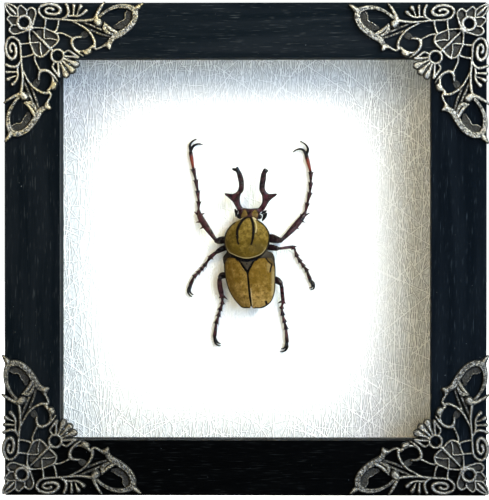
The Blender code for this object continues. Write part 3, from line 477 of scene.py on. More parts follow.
def shell_look(name, dull, bright, shade):
    """Powdery ochre chitin. Masks give its black marks, grey parts, brightness, and pale parts, which hold
    painted highlights too.
    """
    look, tree = new_look(name, roughness=0.5, specular_ior_level=0.02)
    cloud = noise(tree, even(tree, 1.7), detail=5.0, roughness=0.7)
    blotch = noise(tree, even(tree, 0.65))
    pits = node(tree, "TexVoronoi", {"Vector": even(tree, 0.42), "Scale": 1.0}).outputs["Distance"]
    tone = plus(tree, mask(tree, "tone"), about_zero(tree, cloud, 1.7))
    base = mix(tree, ramp(tree, tone, 0.0, 1.0), dull, bright)
    worn = mix(tree, times(tree, ramp(tree, blotch, 0.50, 0.66), 0.6), base, shade)
    grey = mix(tree, mask(tree, "grey"), worn, (0.030, 0.026, 0.019))
    # pale parts, partly painted highlights
    pale = mix(tree, mask(tree, "pale"), grey, (0.50, 0.42, 0.24))
    dotted = mix(tree, ramp(tree, pits, 0.0, 0.25, 0.4, 0.0), pale, (0.03, 0.02, 0.006))
    dark = mask(tree, "mark")
    return fill(
        look, base_color=mix(tree, dark, dotted, (0.003, 0.002, 0.002)),
        roughness=ramp(tree, dark, 0.0, 1.0, 0.5, 0.6),
        normal=bump(tree, plus(tree, ramp(tree, pits, 0.0, 0.3), cloud), 0.07, 0.6),
    )


def chitin_look(name, dark, light, joint, gloss=0.18):
    """Dark glossy chitin. The masks tell the joints, and the parts that turn to another colour."""
    look, tree = new_look(name, roughness=0.3, specular_ior_level=gloss)
    cloud = noise(tree, even(tree, 1.2), detail=4.0)
    fine = noise(tree, even(tree, 0.35), detail=2.0)
    base = mix(tree, ramp(tree, cloud, 0.35, 0.7), dark, light)
    tinted = mix(tree, mask(tree, "tint"), base, joint)
    return fill(
        look, base_color=mix(tree, mask(tree, "mark"), tinted, (0.002, 0.0015, 0.002)),
        roughness=ramp(tree, cloud, 0.3, 0.7, 0.22, 0.38),
        normal=bump(tree, plus(tree, fine, cloud), 0.06, 0.5),
    )


# Raised shapes on a grid

def relief(field, u, v, step, top, bottom, edge, mark):
    """The closed shape that fills a grid where the field is negative, as (u, v, height), faces and marks.

    Border points move onto the outline, where the top and bottom are at the two edge heights.
    """
    inside = (field[:-1, :-1] + field[1:, :-1] + field[:-1, 1:] + field[1:, 1:]) < 0
    a, b, c, d = inside[:-1, :-1], inside[:-1, 1:], inside[1:, :-1], inside[1:, 1:]
    touching = (a & d & ~b & ~c) | (b & c & ~a & ~d)
    inside[:-1, :-1] |= touching
    inside[:-1, 1:] |= touching
    inside[1:, :-1] |= touching
    around = np.zeros(field.shape, int)
    for rows, columns in ((slice(0, -1), slice(0, -1)), (slice(0, -1), slice(1, None)),
                          (slice(1, None), slice(0, -1)), (slice(1, None), slice(1, None))):
        around[rows, columns] += inside
    used = around > 0
    border = used & (around < 4)
    slope_v, slope_u = np.gradient(field, step)
    slope = np.maximum(np.hypot(slope_u, slope_v), 1e-6)
    move = np.where(border, np.clip(field / slope, -0.75 * step, 0.75 * step), 0)
    u, v = u - move * slope_u / slope, v - move * slope_v / slope
    top, bottom = np.where(border, edge[0], top), np.where(border, edge[1], bottom)
    number = np.full(field.shape, -1)
    number[used] = np.arange(used.sum())
    count = int(used.sum())
    points = np.vstack([
        np.column_stack([u[used], v[used], top[used]]), np.column_stack([u[used], v[used], bottom[used]]),
    ])
    corners = squares(number)[inside]
    faces = [corners, corners[:, ::-1] + count]
    padded = np.pad(inside, 1)
    centre = padded[1:-1, 1:-1]
    neighbours = (padded[:-2, 1:-1], padded[1:-1, 2:], padded[2:, 1:-1], padded[1:-1, :-2])
    for side, neighbour in enumerate(neighbours):
        bare = (centre & ~neighbour)[inside]
        start, end = corners[bare, side], corners[bare, (side + 1) % 4]
        faces.append(np.column_stack([end, start, start + count, end + count]))
    marks = np.concatenate([np.where(border, 0, mark)[used], 0 * mark[used]])
    return points, np.vstack(faces), marks


# Corner castings

# Pitch of the mesh, height of its rim, swelling of the strokes and depth of the pitting
CASTING_STEP = 0.15
CASTING_EDGE = 0.25
STROKE_GAIN = 1.32
PITTING = 0.022


def ring(u, v, radius, width, steps=20):
    turns = [2 * pi * step / steps for step in range(steps + 1)]
    return [(u + radius * cos(a), v + radius * sin(a), width) for a in turns]


def ray(u, v, angle, marks):
    """A straight stroke out from a centre, through (distance, width) marks."""
    a = radians(angle)
    return [(u + far * cos(a), v + far * sin(a), width) for far, width in marks]


OUTER_FLOWER, INNER_FLOWER = 6.15, 16.55
BIG_LOBE = [(2.0, 0.7), (4.2, 0.9), (5.6, 1.6), (6.4, 1.85)]
SMALL_LOBE = [(2.0, 0.7), (4.2, 0.7), (5.6, 0.9), (6.3, 0.95)]
SHORT_LOBE = [(2.3, 0.35), (3.2, 0.6), (4.0, 0.35)]
# The strokes above the diagonal: kind, and (u, v, width) points right and down from the frame's corner
CASTING_STROKES = [
    # flower in the corner, and its petals
    ("wire", ring(OUTER_FLOWER, OUTER_FLOWER, 2.0, 0.95)),
    ("web", [(1.3, 1.3, 0.8), (2.8, 2.8, 1.7)]),
    ("web", [(5.5, 1.5, 0.9), (5.5, 3.2, 1.9)]),
    ("web", [(8.7, 2.6, 1.2), (8.6, 4.4, 1.6), (8.2, 6.4, 0.6)]),
    ("wire", [(0.3, 0.3, 0.5), (1.5, 0.35, 0.5), (2.8, 1.0, 0.6), (3.8, 1.8, 0.6)]),
    ("wire", [(0.5, 0.5, 0.5), (2.2, 2.1, 0.7), (3.6, 3.5, 0.5)]),
    ("wire", [(4.3, 4.4, 0.6), (4.2, 3.0, 0.6), (4.15, 1.9, 0.6), (5.0, 0.9, 0.6), (6.0, 1.6, 0.6),
              (6.9, 2.5, 0.6), (7.0, 4.2, 0.6)]),
    ("wire", [(7.0, 2.5, 0.6), (7.8, 1.8, 0.6), (8.6, 1.6, 0.7), (9.6, 2.4, 0.7), (9.75, 3.8, 0.6),
              (9.3, 5.2, 0.6), (8.9, 6.6, 0.7), (8.0, 7.9, 1.1)]),
    # lattice leaf along the diagonal
    ("web", [(10.6, 9.3, 1.2), (11.6, 9.6, 1.6)]),
    ("web", [(13.2, 9.4, 1.8), (14.6, 10.0, 2.2), (15.8, 10.6, 1.4)]),
    ("web", [(13.4, 12.4, 1.4), (15.4, 12.3, 2.0)]),
    ("wire", [(8.0, 8.0, 1.3), (9.5, 7.8, 0.6), (12.5, 8.05, 0.6), (14.2, 8.7, 0.6), (15.7, 9.3, 0.8),
              (16.6, 10.3, 0.7), (16.9, 11.5, 0.7), (16.4, 12.5, 0.7), (15.3, 13.6, 0.7),
              (14.3, 14.3, 0.7)]),
    ("wire", [(8.2, 8.2, 0.5), (11.5, 11.6, 0.7), (15.2, 15.2, 1.0)]),
    ("wire", [(12.45, 8.1, 0.55), (12.4, 10.0, 0.55), (12.6, 11.2, 0.55), (14.5, 11.2, 0.55),
              (16.8, 11.7, 0.55)]),
    ("wire", [(12.6, 8.0, 0.6), (12.8, 6.5, 0.6), (12.9, 4.9, 0.7)]),
    ("wire", [(15.8, 9.3, 0.7), (16.4, 8.2, 0.65), (16.8, 6.6, 0.6), (16.9, 5.3, 0.6)]),
    ("wire", [(16.2, 9.6, 0.7), (17.4, 9.45, 0.6), (18.8, 9.9, 0.6), (20.9, 10.9, 0.7)]),
    # stem and its spiral
    ("wire", [(28.9, 4.6, 1.0), (27.8, 5.2, 0.9), (25.5, 5.55, 0.9), (22.5, 5.65, 0.75),
              (18.0, 5.25, 0.7), (14.5, 5.05, 0.7), (12.6, 4.8, 0.8), (11.2, 3.7, 0.8), (10.75, 2.5, 0.8),
              (11.1, 1.5, 0.8), (12.3, 0.8, 0.9), (14.2, 0.45, 0.9), (16.2, 0.9, 1.0), (17.4, 2.0, 1.1),
              (17.3, 3.0, 1.1), (16.2, 3.55, 1.0), (14.5, 3.6, 0.95), (13.2, 3.2, 0.9), (12.7, 2.5, 0.85),
              (13.2, 1.9, 0.8), (14.3, 1.75, 0.9), (15.2, 2.1, 1.1)]),
    # palmette along the edge
    ("wire", [(17.9, 5.1, 0.6), (19.2, 4.5, 0.8), (19.95, 3.4, 0.9), (19.9, 2.0, 0.9),
              (19.3, 0.55, 0.9)]),
    ("wire", [(19.5, 4.3, 0.6), (21.2, 4.1, 0.7), (22.8, 4.2, 0.7), (24.2, 3.7, 0.8), (25.4, 2.65, 1.2)]),
    ("wire", [(21.5, 4.0, 0.6), (21.6, 2.3, 0.75), (21.65, 0.8, 1.0)]),
    ("wire", [(22.6, 4.0, 0.4), (23.1, 2.6, 0.6), (23.8, 1.2, 1.25)]),
    # scroll below the stem
    ("wire", [(20.8, 5.6, 0.6), (23.0, 6.7, 0.6), (25.1, 7.9, 0.7), (26.7, 9.5, 0.8), (27.8, 11.3, 0.85),
              (28.2, 12.7, 0.9), (28.1, 13.8, 0.9)]),
    ("wire", [(23.9, 10.75, 0.6), (22.4, 10.8, 0.8), (21.3, 11.4, 1.0), (21.05, 12.5, 1.0),
              (21.4, 13.7, 0.95), (22.3, 14.9, 0.85), (23.3, 15.8, 0.75), (24.5, 16.6, 0.4)]),
    ("wire", [(22.2, 14.4, 0.5), (23.5, 15.1, 0.6), (25.0, 15.1, 0.9), (26.4, 14.5, 0.9),
              (27.4, 13.6, 0.9)]),
    ("ball", [(25.4, 15.6, 1.5), (26.4, 15.2, 1.5)]),
    ("wire", [(27.7, 13.7, 0.8), (28.4, 14.4, 0.7), (29.6, 14.2, 0.7), (31.0, 13.4, 0.8),
              (32.3, 13.2, 1.9)]),
    ("ball", [(32.4, 13.2, 1.7), (32.85, 14.2, 0.9)]),
    # teardrop loop
    ("gutter", [(32.6, 13.0, 1.3), (33.6, 11.3, 1.6), (35.5, 10.1, 1.8), (37.4, 8.9, 1.7),
                (39.1, 7.5, 1.6), (40.3, 5.8, 1.6), (40.8, 4.0, 1.7), (40.4, 2.3, 1.7), (38.6, 1.35, 1.4),
                (36.5, 1.15, 1.25), (34.5, 1.4, 1.1), (32.7, 2.15, 0.95), (31.2, 3.05, 0.9),
                (29.7, 4.3, 0.9)]),
    ("wire", [(40.9, 2.0, 1.6), (42.2, 1.0, 1.1), (43.1, 0.3, 0.6)]),
    ("gutter", [(33.6, 9.8, 0.6), (32.0, 9.2, 1.0), (31.2, 8.0, 1.1), (31.2, 6.3, 0.5)]),
    ("wire", [(31.2, 6.3, 0.5), (32.2, 7.5, 1.0), (33.7, 8.7, 1.1), (35.8, 9.7, 0.9)]),
    ("web", [(38.8, 2.2, 1.0), (38.5, 5.2, 1.6), (36.8, 6.9, 1.9), (34.6, 7.4, 1.0)]),
    ("rim", [(38.3, 2.4, 0.3), (37.6, 3.5, 0.3), (37.6, 4.8, 0.3), (37.0, 5.5, 0.3), (36.2, 5.8, 0.3),
             (34.9, 6.8, 0.3)]),
    # spike, boss and the low leaves between them and the scroll
    ("wire", [(28.3, 4.9, 1.1), (29.2, 3.0, 1.0), (30.1, 1.4, 0.9), (31.1, 0.0, 0.5)]),
    ("ball", [(28.6, 5.4, 1.8), (29.3, 6.3, 2.2)]),
    ("low", [(24.0, 5.9, 0.5), (26.5, 6.9, 0.7), (29.0, 7.9, 0.8), (31.0, 8.8, 0.7)]),
    ("low", [(25.2, 7.9, 0.5), (28.0, 9.0, 0.7), (30.0, 9.8, 0.7), (32.9, 10.6, 0.7)]),
    ("web", [(23.9, 10.7, 0.8), (25.0, 9.9, 1.5), (26.2, 9.3, 1.0)]),
    # flower towards the picture
    ("wire", ring(INNER_FLOWER, INNER_FLOWER, 1.95, 0.8)),
    ("wire", ray(INNER_FLOWER, INNER_FLOWER, 4, SMALL_LOBE)),
    ("wire", ray(INNER_FLOWER, INNER_FLOWER, 24.5, BIG_LOBE)),
    ("wire", ray(INNER_FLOWER, INNER_FLOWER, 45, BIG_LOBE)),
    ("low", ray(INNER_FLOWER, INNER_FLOWER, 14, SHORT_LOBE)),
    ("low", ray(INNER_FLOWER, INNER_FLOWER, 35, SHORT_LOBE)),
    ("wire", [(18.6, 15.6, 0.7), (20.0, 15.0, 0.7), (21.3, 15.8, 0.8), (22.8, 16.9, 0.8)]),
]


def stroke_top(kind, off, half):
    """The height over a stroke, and how bright it is rubbed.

    off is 0 on its middle line and 1 at its edge, and half is half its width.
    """
    round_top = np.sqrt(np.clip(1 - off ** 3, 0, 1))
    if kind == "ball":
        return 0.45 + 0.9 * round_top, round_top
    if kind == "gutter":
        groove = np.exp(-(off / 0.40) ** 2) * np.clip(half / 0.8, 0, 1)
        return 0.45 + 0.9 * round_top - 0.42 * groove, round_top * (1 - 0.75 * groove) + 0.1
    if kind == "low":
        return 0.25 + 0.9 * half * round_top, 0.85 * round_top
    if kind == "web":
        return 0.22 + 0.05 * round_top, 0.35 + 0 * off
    if kind == "rim":
        return 0.28 + 0.15 * round_top, 0.95 * round_top
    return 0.40 + np.clip(1.5 * half, 0, 0.8) * round_top, round_top


def pitting(count):
    """Rough and smooth spots of a rough casting on a square grid, about 0 with a spread of 1."""
    random = np.random.default_rng(5)
    rough = random.normal(size=(count, count))
    for _ in range(5):
        rough = (rough + np.roll(rough, 1, 0) + np.roll(rough, 1, 1) + np.roll(rough, (1, 1), (0, 1))) / 4
    return rough / rough.std()


def casting_form():
    """The points, faces and masks of a casting, with its corner at the origin."""
    line = np.arange(-1.2, 45.0, CASTING_STEP)
    u, v = np.meshgrid(line, line)
    field, top, crest = np.full(u.shape, 10.0), np.zeros(u.shape), np.zeros(u.shape)
    for kind, points in CASTING_STROKES:
        path = smooth_path(points, 5)
        reach = path[:, 2].max()
        columns, rows = (
            slice(*np.searchsorted(line, [path[:, axis].min() - reach, path[:, axis].max() + reach]))
            for axis in (0, 1)
        )
        near = (rows, columns)
        for (u0, v0, w0), (u1, v1, w1) in zip(path[:-1], path[1:]):
            du, dv, right, down = u1 - u0, v1 - v0, u[near] - u0, v[near] - v0
            along = np.clip((right * du + down * dv) / max(du * du + dv * dv, 1e-9), 0, 1)
            half = STROKE_GAIN * (w0 + along * (w1 - w0)) / 2
            gap = np.hypot(right - along * du, down - along * dv)
            field[near] = np.minimum(field[near], gap - half)
            height, rubbed = stroke_top(kind, gap / half, half)
            higher = (gap < half) & (height > top[near])
            top[near] = np.where(higher, height, top[near])
            crest[near] = np.where(higher, rubbed, crest[near])
    crest = np.where(top.T > top, crest.T, crest)
    field, top = np.minimum(field, field.T), np.maximum(top, top.T)
    top = np.maximum(top + PITTING * pitting(len(line)), CASTING_EDGE)
    points, faces, rubbed = relief(field, u, v, CASTING_STEP, top, 0 * top, (CASTING_EDGE, 0.0), crest)
    out = np.hypot(points[:, 0], points[:, 1])
    masks = {"relief": rubbed, "warm": np.clip((out - 8) / 22, 0, 1)}
    return points * (MM, -MM, MM), faces[:, ::-1].tolist(), masks


def castings():
    """The same casting at each corner, where the CAD pieces sit. The low pair is painted darker, as painted
    shade.
    """
    points, faces, masks = casting_form()
    middle = (points.min(0) + points.max(0)) / 2
    corners = (
        # corner, turn, painted light level, share of gold, where the wear starts; the low pair's lower level
        # and later start are painted shade
        ("top_left", 0, 1.0, 1.0, 0.30), ("top_right", -90, 0.92, 0.4, 0.30),
        ("bottom_left", 90, 0.50, 0.6, 0.37), ("bottom_right", 180, 0.56, 0.3, 0.40),
    )
    for corner, turn, painted_light_level, gilding, start in corners:
        look = antique_silver("silver_" + corner, painted_light_level, gilding, start)
        cad = "corner_filigree_" + corner
        low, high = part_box(cad)
        stand = Matrix.Rotation(pi / 2, 4, "X") @ Matrix.Rotation(radians(turn), 4, "Z")
        place = Matrix.Translation(((low.x + high.x) / 2, high.y, (low.z + high.z) / 2))
        matrix = place @ stand @ Matrix.Translation((-middle[0], -middle[1], 0))
        mesh = mesh_of("corner_casting", points, faces)
        piece("casting_" + corner, mesh, look, [cad], masks, 75, matrix)


# Paper

# Pitch of the mesh, its reach under the liners, mean height off the card and limit of the creases
PAPER_STEP = 0.41
PAPER_MARGIN = 0.4
PAPER_LIFT = 0.10
CREASE_LIMIT = 0.16


def crease_lines(random):
    """Random creases, most of them upright, as (x, z, angle, length, width, height, bend)."""
    half_w, half_h = 60.0, 62.0
    kinds = (
        # count, angles about, spread, lengths, widths, heights
        (500, 90, 12, (6, 18), (0.45, 0.6), (0.02, 0.05)),
        (120, 45, 16, (5, 14), (0.45, 0.6), (0.02, 0.05)),
        (120, 135, 16, (5, 14), (0.45, 0.6), (0.02, 0.05)),
        (60, 90, 25, (20, 50), (0.5, 0.7), (0.03, 0.07)),
        (30, 40, 14, (20, 60), (0.5, 0.7), (0.05, 0.10)),
        (30, 138, 12, (20, 60), (0.5, 0.7), (0.05, 0.10)),
    )
    for count, about, spread, lengths, widths, heights in kinds:
        for _ in range(count):
            yield (
                random.uniform(-half_w, half_w), random.uniform(-half_h, half_h),
                radians(random.normal(about, spread)), random.uniform(*lengths), random.uniform(*widths),
                random.uniform(*heights) * random.choice([1, 1, 1, -0.6]), random.uniform(-0.006, 0.006),
            )


def paper_heights(x_line, z_line):
    """How far the creased paper stands off the card, in millimetres."""
    random = np.random.default_rng(11)
    heights = np.zeros((len(z_line), len(x_line)))
    for x, z, angle, length, width, height, bend in crease_lines(random):
        reach_x, reach_z = (abs(part) * length / 2 + 2 * width + 0.5 for part in (cos(angle), sin(angle)))
        columns = slice(*np.searchsorted(x_line, [x - reach_x, x + reach_x]))
        rows = slice(*np.searchsorted(z_line, [z - reach_z, z + reach_z]))
        right, up = np.meshgrid(x_line[columns] - x, z_line[rows] - z)
        along = right * cos(angle) + up * sin(angle)
        off = up * cos(angle) - right * sin(angle) - bend * along ** 2
        fade = np.clip(1.15 - (2 * along / length) ** 2, 0, 1)
        heights[rows, columns] += height * fade * np.exp(-(off / (width / 2)) ** 2)
    return CREASE_LIMIT * np.tanh(heights / CREASE_LIMIT) + PAPER_LIFT


def paper(look):
    """Creased paper over the card, down its sides and flat behind."""
    half_w, half_h = (card_high.x - card_low.x) / 2 / MM, (card_high.z - card_low.z) / 2 / MM
    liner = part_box("liner_left")[1].x / MM
    seen_w, seen_h = PAPER_MARGIN - liner, half_h - (half_w + liner) + PAPER_MARGIN
    x_line = np.concatenate([[-half_w], np.arange(-seen_w, seen_w, PAPER_STEP), [half_w]])
    z_line = np.concatenate([[-half_h], np.arange(-seen_h, seen_h, PAPER_STEP), [half_h]])
    heights = paper_heights(x_line, z_line)
    heights[[0, -1], :] = 0.0
    heights[:, [0, -1]] = 0.0
    x, z = np.meshgrid(x_line, z_line)
    number = np.arange(x.size).reshape(x.shape)
    front = squares(number).reshape(-1, 4)
    rim = np.concatenate([number[0, :-1], number[:-1, -1], number[-1, :0:-1], number[:0:-1, 0]])
    sheet = on_paper(x.ravel(), z.ravel(), heights.ravel())
    back = sheet[rim].copy()
    back[:, 1] = card_high.y
    behind = x.size + np.arange(len(rim))
    sides = np.column_stack([np.roll(rim, -1), rim, behind, np.roll(behind, -1)])
    faces = [*front.tolist(), *sides.tolist(), behind[::-1].tolist()]
    mesh = mesh_of("creased_paper", np.vstack([sheet, back]), faces)
    piece("creased_paper", mesh, look, ["display_card"], sharp=50)


# Beetle: points are millimetres right and up from the frame's middle, and height off the paper

LEFT_EDGE = (
    [-18.7, -17.0, -15.0, -12.7, -9.0, -5.5, -4.0, -2.7],
    [-1.4, -3.0, -4.6, -5.7, -6.7, -7.05, -6.9, -5.3],
)
RIGHT_EDGE = (
    [-18.7, -17.4, -15.2, -13.5, -11.5, -6.0, -4.0, -2.6],
    [5.0, 7.0, 8.6, 9.0, 9.15, 9.2, 9.0, 7.6],
)
PRONOTUM = [
    (0.6, 10.15), (-1.5, 9.6), (-4.0, 8.2), (-6.0, 6.1), (-7.0, 3.6), (-7.0, 1.2), (-5.9, -1.3),
    (-4.0, -2.4), (-1.6, -3.3), (0.6, -3.5), (2.6, -3.1), (5.0, -2.1), (6.6, -0.2), (7.4, 2.6),
    (7.2, 5.2), (5.8, 7.5), (4.0, 8.9), (2.3, 9.9),
]
SCUTELLUM = [
    (-1.8, -3.85), (0.3, -4.05), (2.1, -3.75), (1.5, -4.9), (0.8, -6.2), (0.4, -6.8), (-0.1, -6.3),
    (-1.0, -5.1),
]
LEFT_WING = [
    (-2.3, -3.9), (-3.5, -2.95), (-4.8, -2.6), (-6.0, -2.8), (-6.9, -3.95), (-7.1, -5.6), (-6.75, -8.8),
    (-5.7, -12.7), (-4.4, -15.2), (-2.8, -17.3), (-1.3, -18.6), (0.4, -18.7), (1.35, -18.3), (0.9, -15.2),
    (0.5, -11.0), (0.2, -7.8), (-0.5, -6.75), (-1.4, -5.35),
]
RIGHT_WING = [
    (2.6, -3.9), (3.8, -3.05), (5.6, -2.75), (7.5, -2.75), (8.8, -3.6), (9.2, -6.0), (9.2, -10.0),
    (9.0, -13.5), (8.1, -16.3), (6.6, -17.9), (5.0, -18.7), (3.3, -18.75), (1.9, -18.5), (1.45, -15.2),
    (1.0, -11.0), (0.75, -8.0), (1.1, -6.7), (1.9, -5.2),
]
HEAD = [
    (0.8, 8.8), (-1.4, 9.0), (-2.4, 9.6), (-2.6, 11.0), (-2.4, 12.2), (-1.2, 12.9), (1.2, 12.7),
    (3.8, 12.9), (5.1, 12.3), (4.3, 11.2), (4.2, 9.8), (3.2, 9.1),
]
BELLY = [
    (0.6, 8.2), (-2.8, 7.4), (-5.0, 5.2), (-5.9, 3.0), (-5.9, 0.8), (-6.4, -1.2), (-7.4, -2.6),
    (-7.3, -4.6), (-6.5, -5.8), (-6.2, -8.0), (-5.8, -10.5), (-4.4, -14.2), (-2.4, -17.0), (0.5, -18.1),
    (3.8, -18.0), (6.4, -16.4), (8.0, -13.5), (8.2, -10.0), (8.4, -6.5), (8.9, -4.6), (8.8, -2.6),
    (8.0, -1.2), (6.6, -0.7), (6.0, 0.6), (6.1, 3.0), (5.4, 5.4), (3.4, 7.4),
]
LEFT_HORN = [
    (-2.3, 11.8), (-0.9, 12.3), (-1.9, 13.8), (-2.2, 15.6), (-1.9, 17.2), (-1.05, 18.5), (-0.9, 21.0),
    (-1.3, 23.0), (-2.2, 24.8), (-2.85, 25.75), (-3.3, 25.3), (-4.3, 25.3), (-4.2, 24.85), (-3.1, 24.2),
    (-2.65, 22.6), (-2.2, 20.2), (-2.5, 18.5), (-3.1, 17.7), (-4.4, 17.15), (-6.7, 17.35), (-5.6, 16.2),
    (-4.2, 14.9), (-3.4, 13.5), (-2.8, 12.4),
]
RIGHT_HORN = [
    (5.3, 12.2), (6.2, 13.5), (7.0, 14.9), (8.3, 16.1), (9.5, 17.2), (7.2, 17.15), (6.2, 17.9),
    (5.7, 19.0), (5.75, 20.3), (6.05, 22.0), (6.15, 23.6), (6.75, 24.5), (6.5, 24.85), (5.7, 25.15),
    (4.9, 23.8), (4.5, 21.8), (4.2, 19.6), (4.3, 18.3), (5.0, 16.9), (5.15, 15.2), (4.8, 13.9),
    (3.7, 12.4), (4.4, 11.7),
]

STRIPES = (
    [(0.0, 9.9), (-1.0, 9.2), (-1.7, 8.2), (-2.4, 7.0), (-2.8, 5.5), (-2.75, 3.5), (-2.6, 2.2),
     (-2.35, 1.6)],
    [(1.5, 9.8), (2.0, 8.5), (2.3, 7.0), (2.3, 5.0), (2.1, 3.3), (1.8, 2.0), (1.6, 1.5)],
)
HEAD_PLATES = (
    [(-0.8, 12.3), (-0.2, 12.1), (0.1, 11.2), (0.3, 10.5), (-0.3, 10.1), (-1.4, 9.8), (-1.7, 10.2),
     (-1.1, 11.6)],
    [(2.4, 12.1), (3.0, 12.3), (3.4, 11.7), (4.0, 10.2), (3.5, 9.8), (2.5, 9.9), (1.7, 10.6), (1.9, 11.3)],
)
# painted highlights along the inner upper edges of the head's olive plates
PLATE_HIGHLIGHTS = ([(-0.45, 12.1), (0.0, 11.3), (0.1, 10.8)], [(2.65, 12.1), (2.1, 11.4), (1.85, 10.8)])

# The wing cases' common dome, the pronotum's top and the belly: heights off the paper
BACK_RIM = 4.4
BACK_RISE = 4.4
PRONOTUM_CROWN = 9.9
BELLY_RIM = 2.6
BELLY_DEPTH = 2.3

# Eyes, knees, feet and horns
EYES = ((-2.35, 10.3), (4.2, 10.1))
EYE_HEIGHT = 3.6
EYE_RADIUS = 0.78
KNEE_RADIUS = 0.62
FOOT_HEIGHT = 0.85
HORN_STEP = 0.1
HORN_GROWTH = 0.17


def suture(z):
    """Where the two wing cases meet."""
    return 0.45 + 0.1 * np.maximum(0.0, -7.0 - z)


def across_wing(x, z):
    """0 where the wing cases meet, and 1 at their outer edges."""
    ridge = suture(z)
    edge = np.where(x < ridge, np.interp(z, *LEFT_EDGE), np.interp(z, *RIGHT_EDGE))
    return np.clip(np.abs((x - ridge) / (edge - ridge)), 0, 1)


def below_rim(rise):
    """How far down an underside is, from 0 at the rim to 1 in its middle."""
    return np.sqrt(np.clip(-rise, 0, 1))


def back_height(x, z):
    """The height of the wing cases' common dome."""
    tail = np.clip((-7.0 - z) / 12.2, 0, 1)
    return BACK_RIM + BACK_RISE * np.sqrt(1 - across_wing(x, z) ** 2) * np.sqrt(1 - tail ** 2)


def pronotum_edge(x, z):
    rear = np.clip((2.0 - z) / 5.6, 0, 1) * np.maximum(0.0, 1 - (x / 7.4) ** 2)
    front = np.clip((z - 4.0) / 6.0, 0, 1)
    return 4.7 + 3.4 * rear + 1.3 * front


def stripes_at(x, z):
    """The pronotum's two black stripes, narrower at their low ends."""
    parts = [part for line in STRIPES for part in ((line, 0.62), (line[:-2], 0.9))]
    return np.maximum.reduce([stroke(x, z, line, width, 0.25) for line, width in parts])


def pronotum_height(x, z, rise):
    edge = pronotum_edge(x, z)
    upper = edge + (PRONOTUM_CROWN - edge) * np.clip(rise, 0, 1) ** 0.8 + 0.12 * stripes_at(x, z)
    return np.where(rise > 0, upper, edge - 0.5 * below_rim(rise))


def wing_height(x, z, rise):
    """A thin shell with a raised rim and two faint ribs."""
    across = across_wing(x, z)
    ribs = 0.10 * (np.exp(-((across - 0.33) / 0.07) ** 2) + np.exp(-((across - 0.66) / 0.06) ** 2))
    ribs = ribs * np.clip((-5.0 - z) / 3, 0, 1) * np.clip((z + 17) / 3, 0, 1)
    rim = 0.35 * np.clip(rise / 0.35, 0, 1) ** 0.5 + 0.1 * rise
    return back_height(x, z) + np.where(rise > 0, rim + ribs, -0.9 * below_rim(rise))


def plate_height(x, z, rise):
    return back_height(x, z) + 0.4 * rise


def head_height(x, z, rise):
    ridge = 0.35 * np.exp(-((z - 12.5) / 0.35) ** 2) * soft(np.abs(x - 1.4), 2.4, 1.0)
    hollow = 0.15 * np.exp(-((x - 0.9) / 0.9) ** 2 - ((z - 11.3) / 0.8) ** 2)
    shape = 3.5 + np.sign(rise) * 1.8 * np.abs(rise) ** 0.7
    return shape + np.where(rise > 0, ridge - hollow, 0)


def belly_height(x, z, rise):
    """The body fills the hollow under the wing cases and the pronotum, with grooves between its rings."""
    roof = np.minimum(back_height(x, z) - 1.6, pronotum_edge(x, z) - 0.8)
    upper = BELLY_RIM + (roof - BELLY_RIM) * np.clip(rise, 0, 1) ** 0.5
    groove = 0.10 * np.exp(-(((z + 30) % 2.6 - 1.3) / 0.22) ** 2) * (z < -6)
    return np.where(rise > 0, upper, BELLY_RIM - (BELLY_DEPTH - groove) * below_rim(rise))


def dome(name, outline, middle, segments, rings, height):
    """A closed rounded plate, as rings that shrink from its outline to its middle, above and below."""
    rim = even_outline(outline, segments)
    x, z, rise = [middle[0]], [middle[1]], [1.0]
    for turn in np.linspace(pi / 2, -pi / 2, rings + 1)[1:-1]:
        x += list(middle[0] + cos(turn) * (rim[:, 0] - middle[0]))
        z += list(middle[1] + cos(turn) * (rim[:, 1] - middle[1]))
        rise += [sin(turn)] * segments
    x, z, rise = np.array([*x, middle[0]]), np.array([*z, middle[1]]), np.array([*rise, -1.0])
    return mesh_of(name, on_paper(x, z, height(x, z, rise)), capped_rings(rings - 1, segments)), rim


def pronotum(look):
    mesh, rim = dome("pronotum", PRONOTUM, (0.3, 3.4), 200, 110, pronotum_height)
    x, z, height = places(mesh)
    inward = -to_outline(x, z, rim)
    # painted highlight along the front rim, which also lightens the black margin there
    painted_rim_highlight = np.maximum(
        stroke(x, z, [(-3.3, 8.6), (-1.6, 9.5), (-0.5, 9.95)], 0.4, 0.25),
        stroke(x, z, [(2.0, 9.9), (3.0, 9.25)], 0.5, 0.25),
    )
    mark = np.maximum(stripes_at(x, z), soft(inward, 0.42, 0.16) * (1 - 0.85 * painted_rim_highlight))
    # a pale band inside the lower rim, a painted highlight beside the right stripe, and the painted rim
    # highlight
    pale = [
        0.45 * soft(np.abs(inward - 0.62), 0.12, 0.2) * soft(z, 0.0, 4.0),
        0.6 * stroke(x, z, [(2.3, 9.3), (3.0, 8.2), (3.25, 6.6), (3.0, 5.2)], 0.3, 0.35),
        painted_rim_highlight,
    ]
    masks = {
        "mark": np.where(height < pronotum_edge(x, z) - 0.1, 1, mark),
        "pale": np.maximum.reduce(pale),
        "tone": 0.19 + 0.008 * x + 0.03 * (z - 3) + 0.1 * soft(np.abs(z - 6), 3, 4),
        "grey": 0.22 * patch(x, z, [(1.4, 1.3), (4.4, 1.7), (6.2, 0.4), (3.6, -1.2), (1.0, -0.5)], 1.0),
    }
    piece("pronotum", mesh, look, ["beetle_pronotum"], masks, 60)


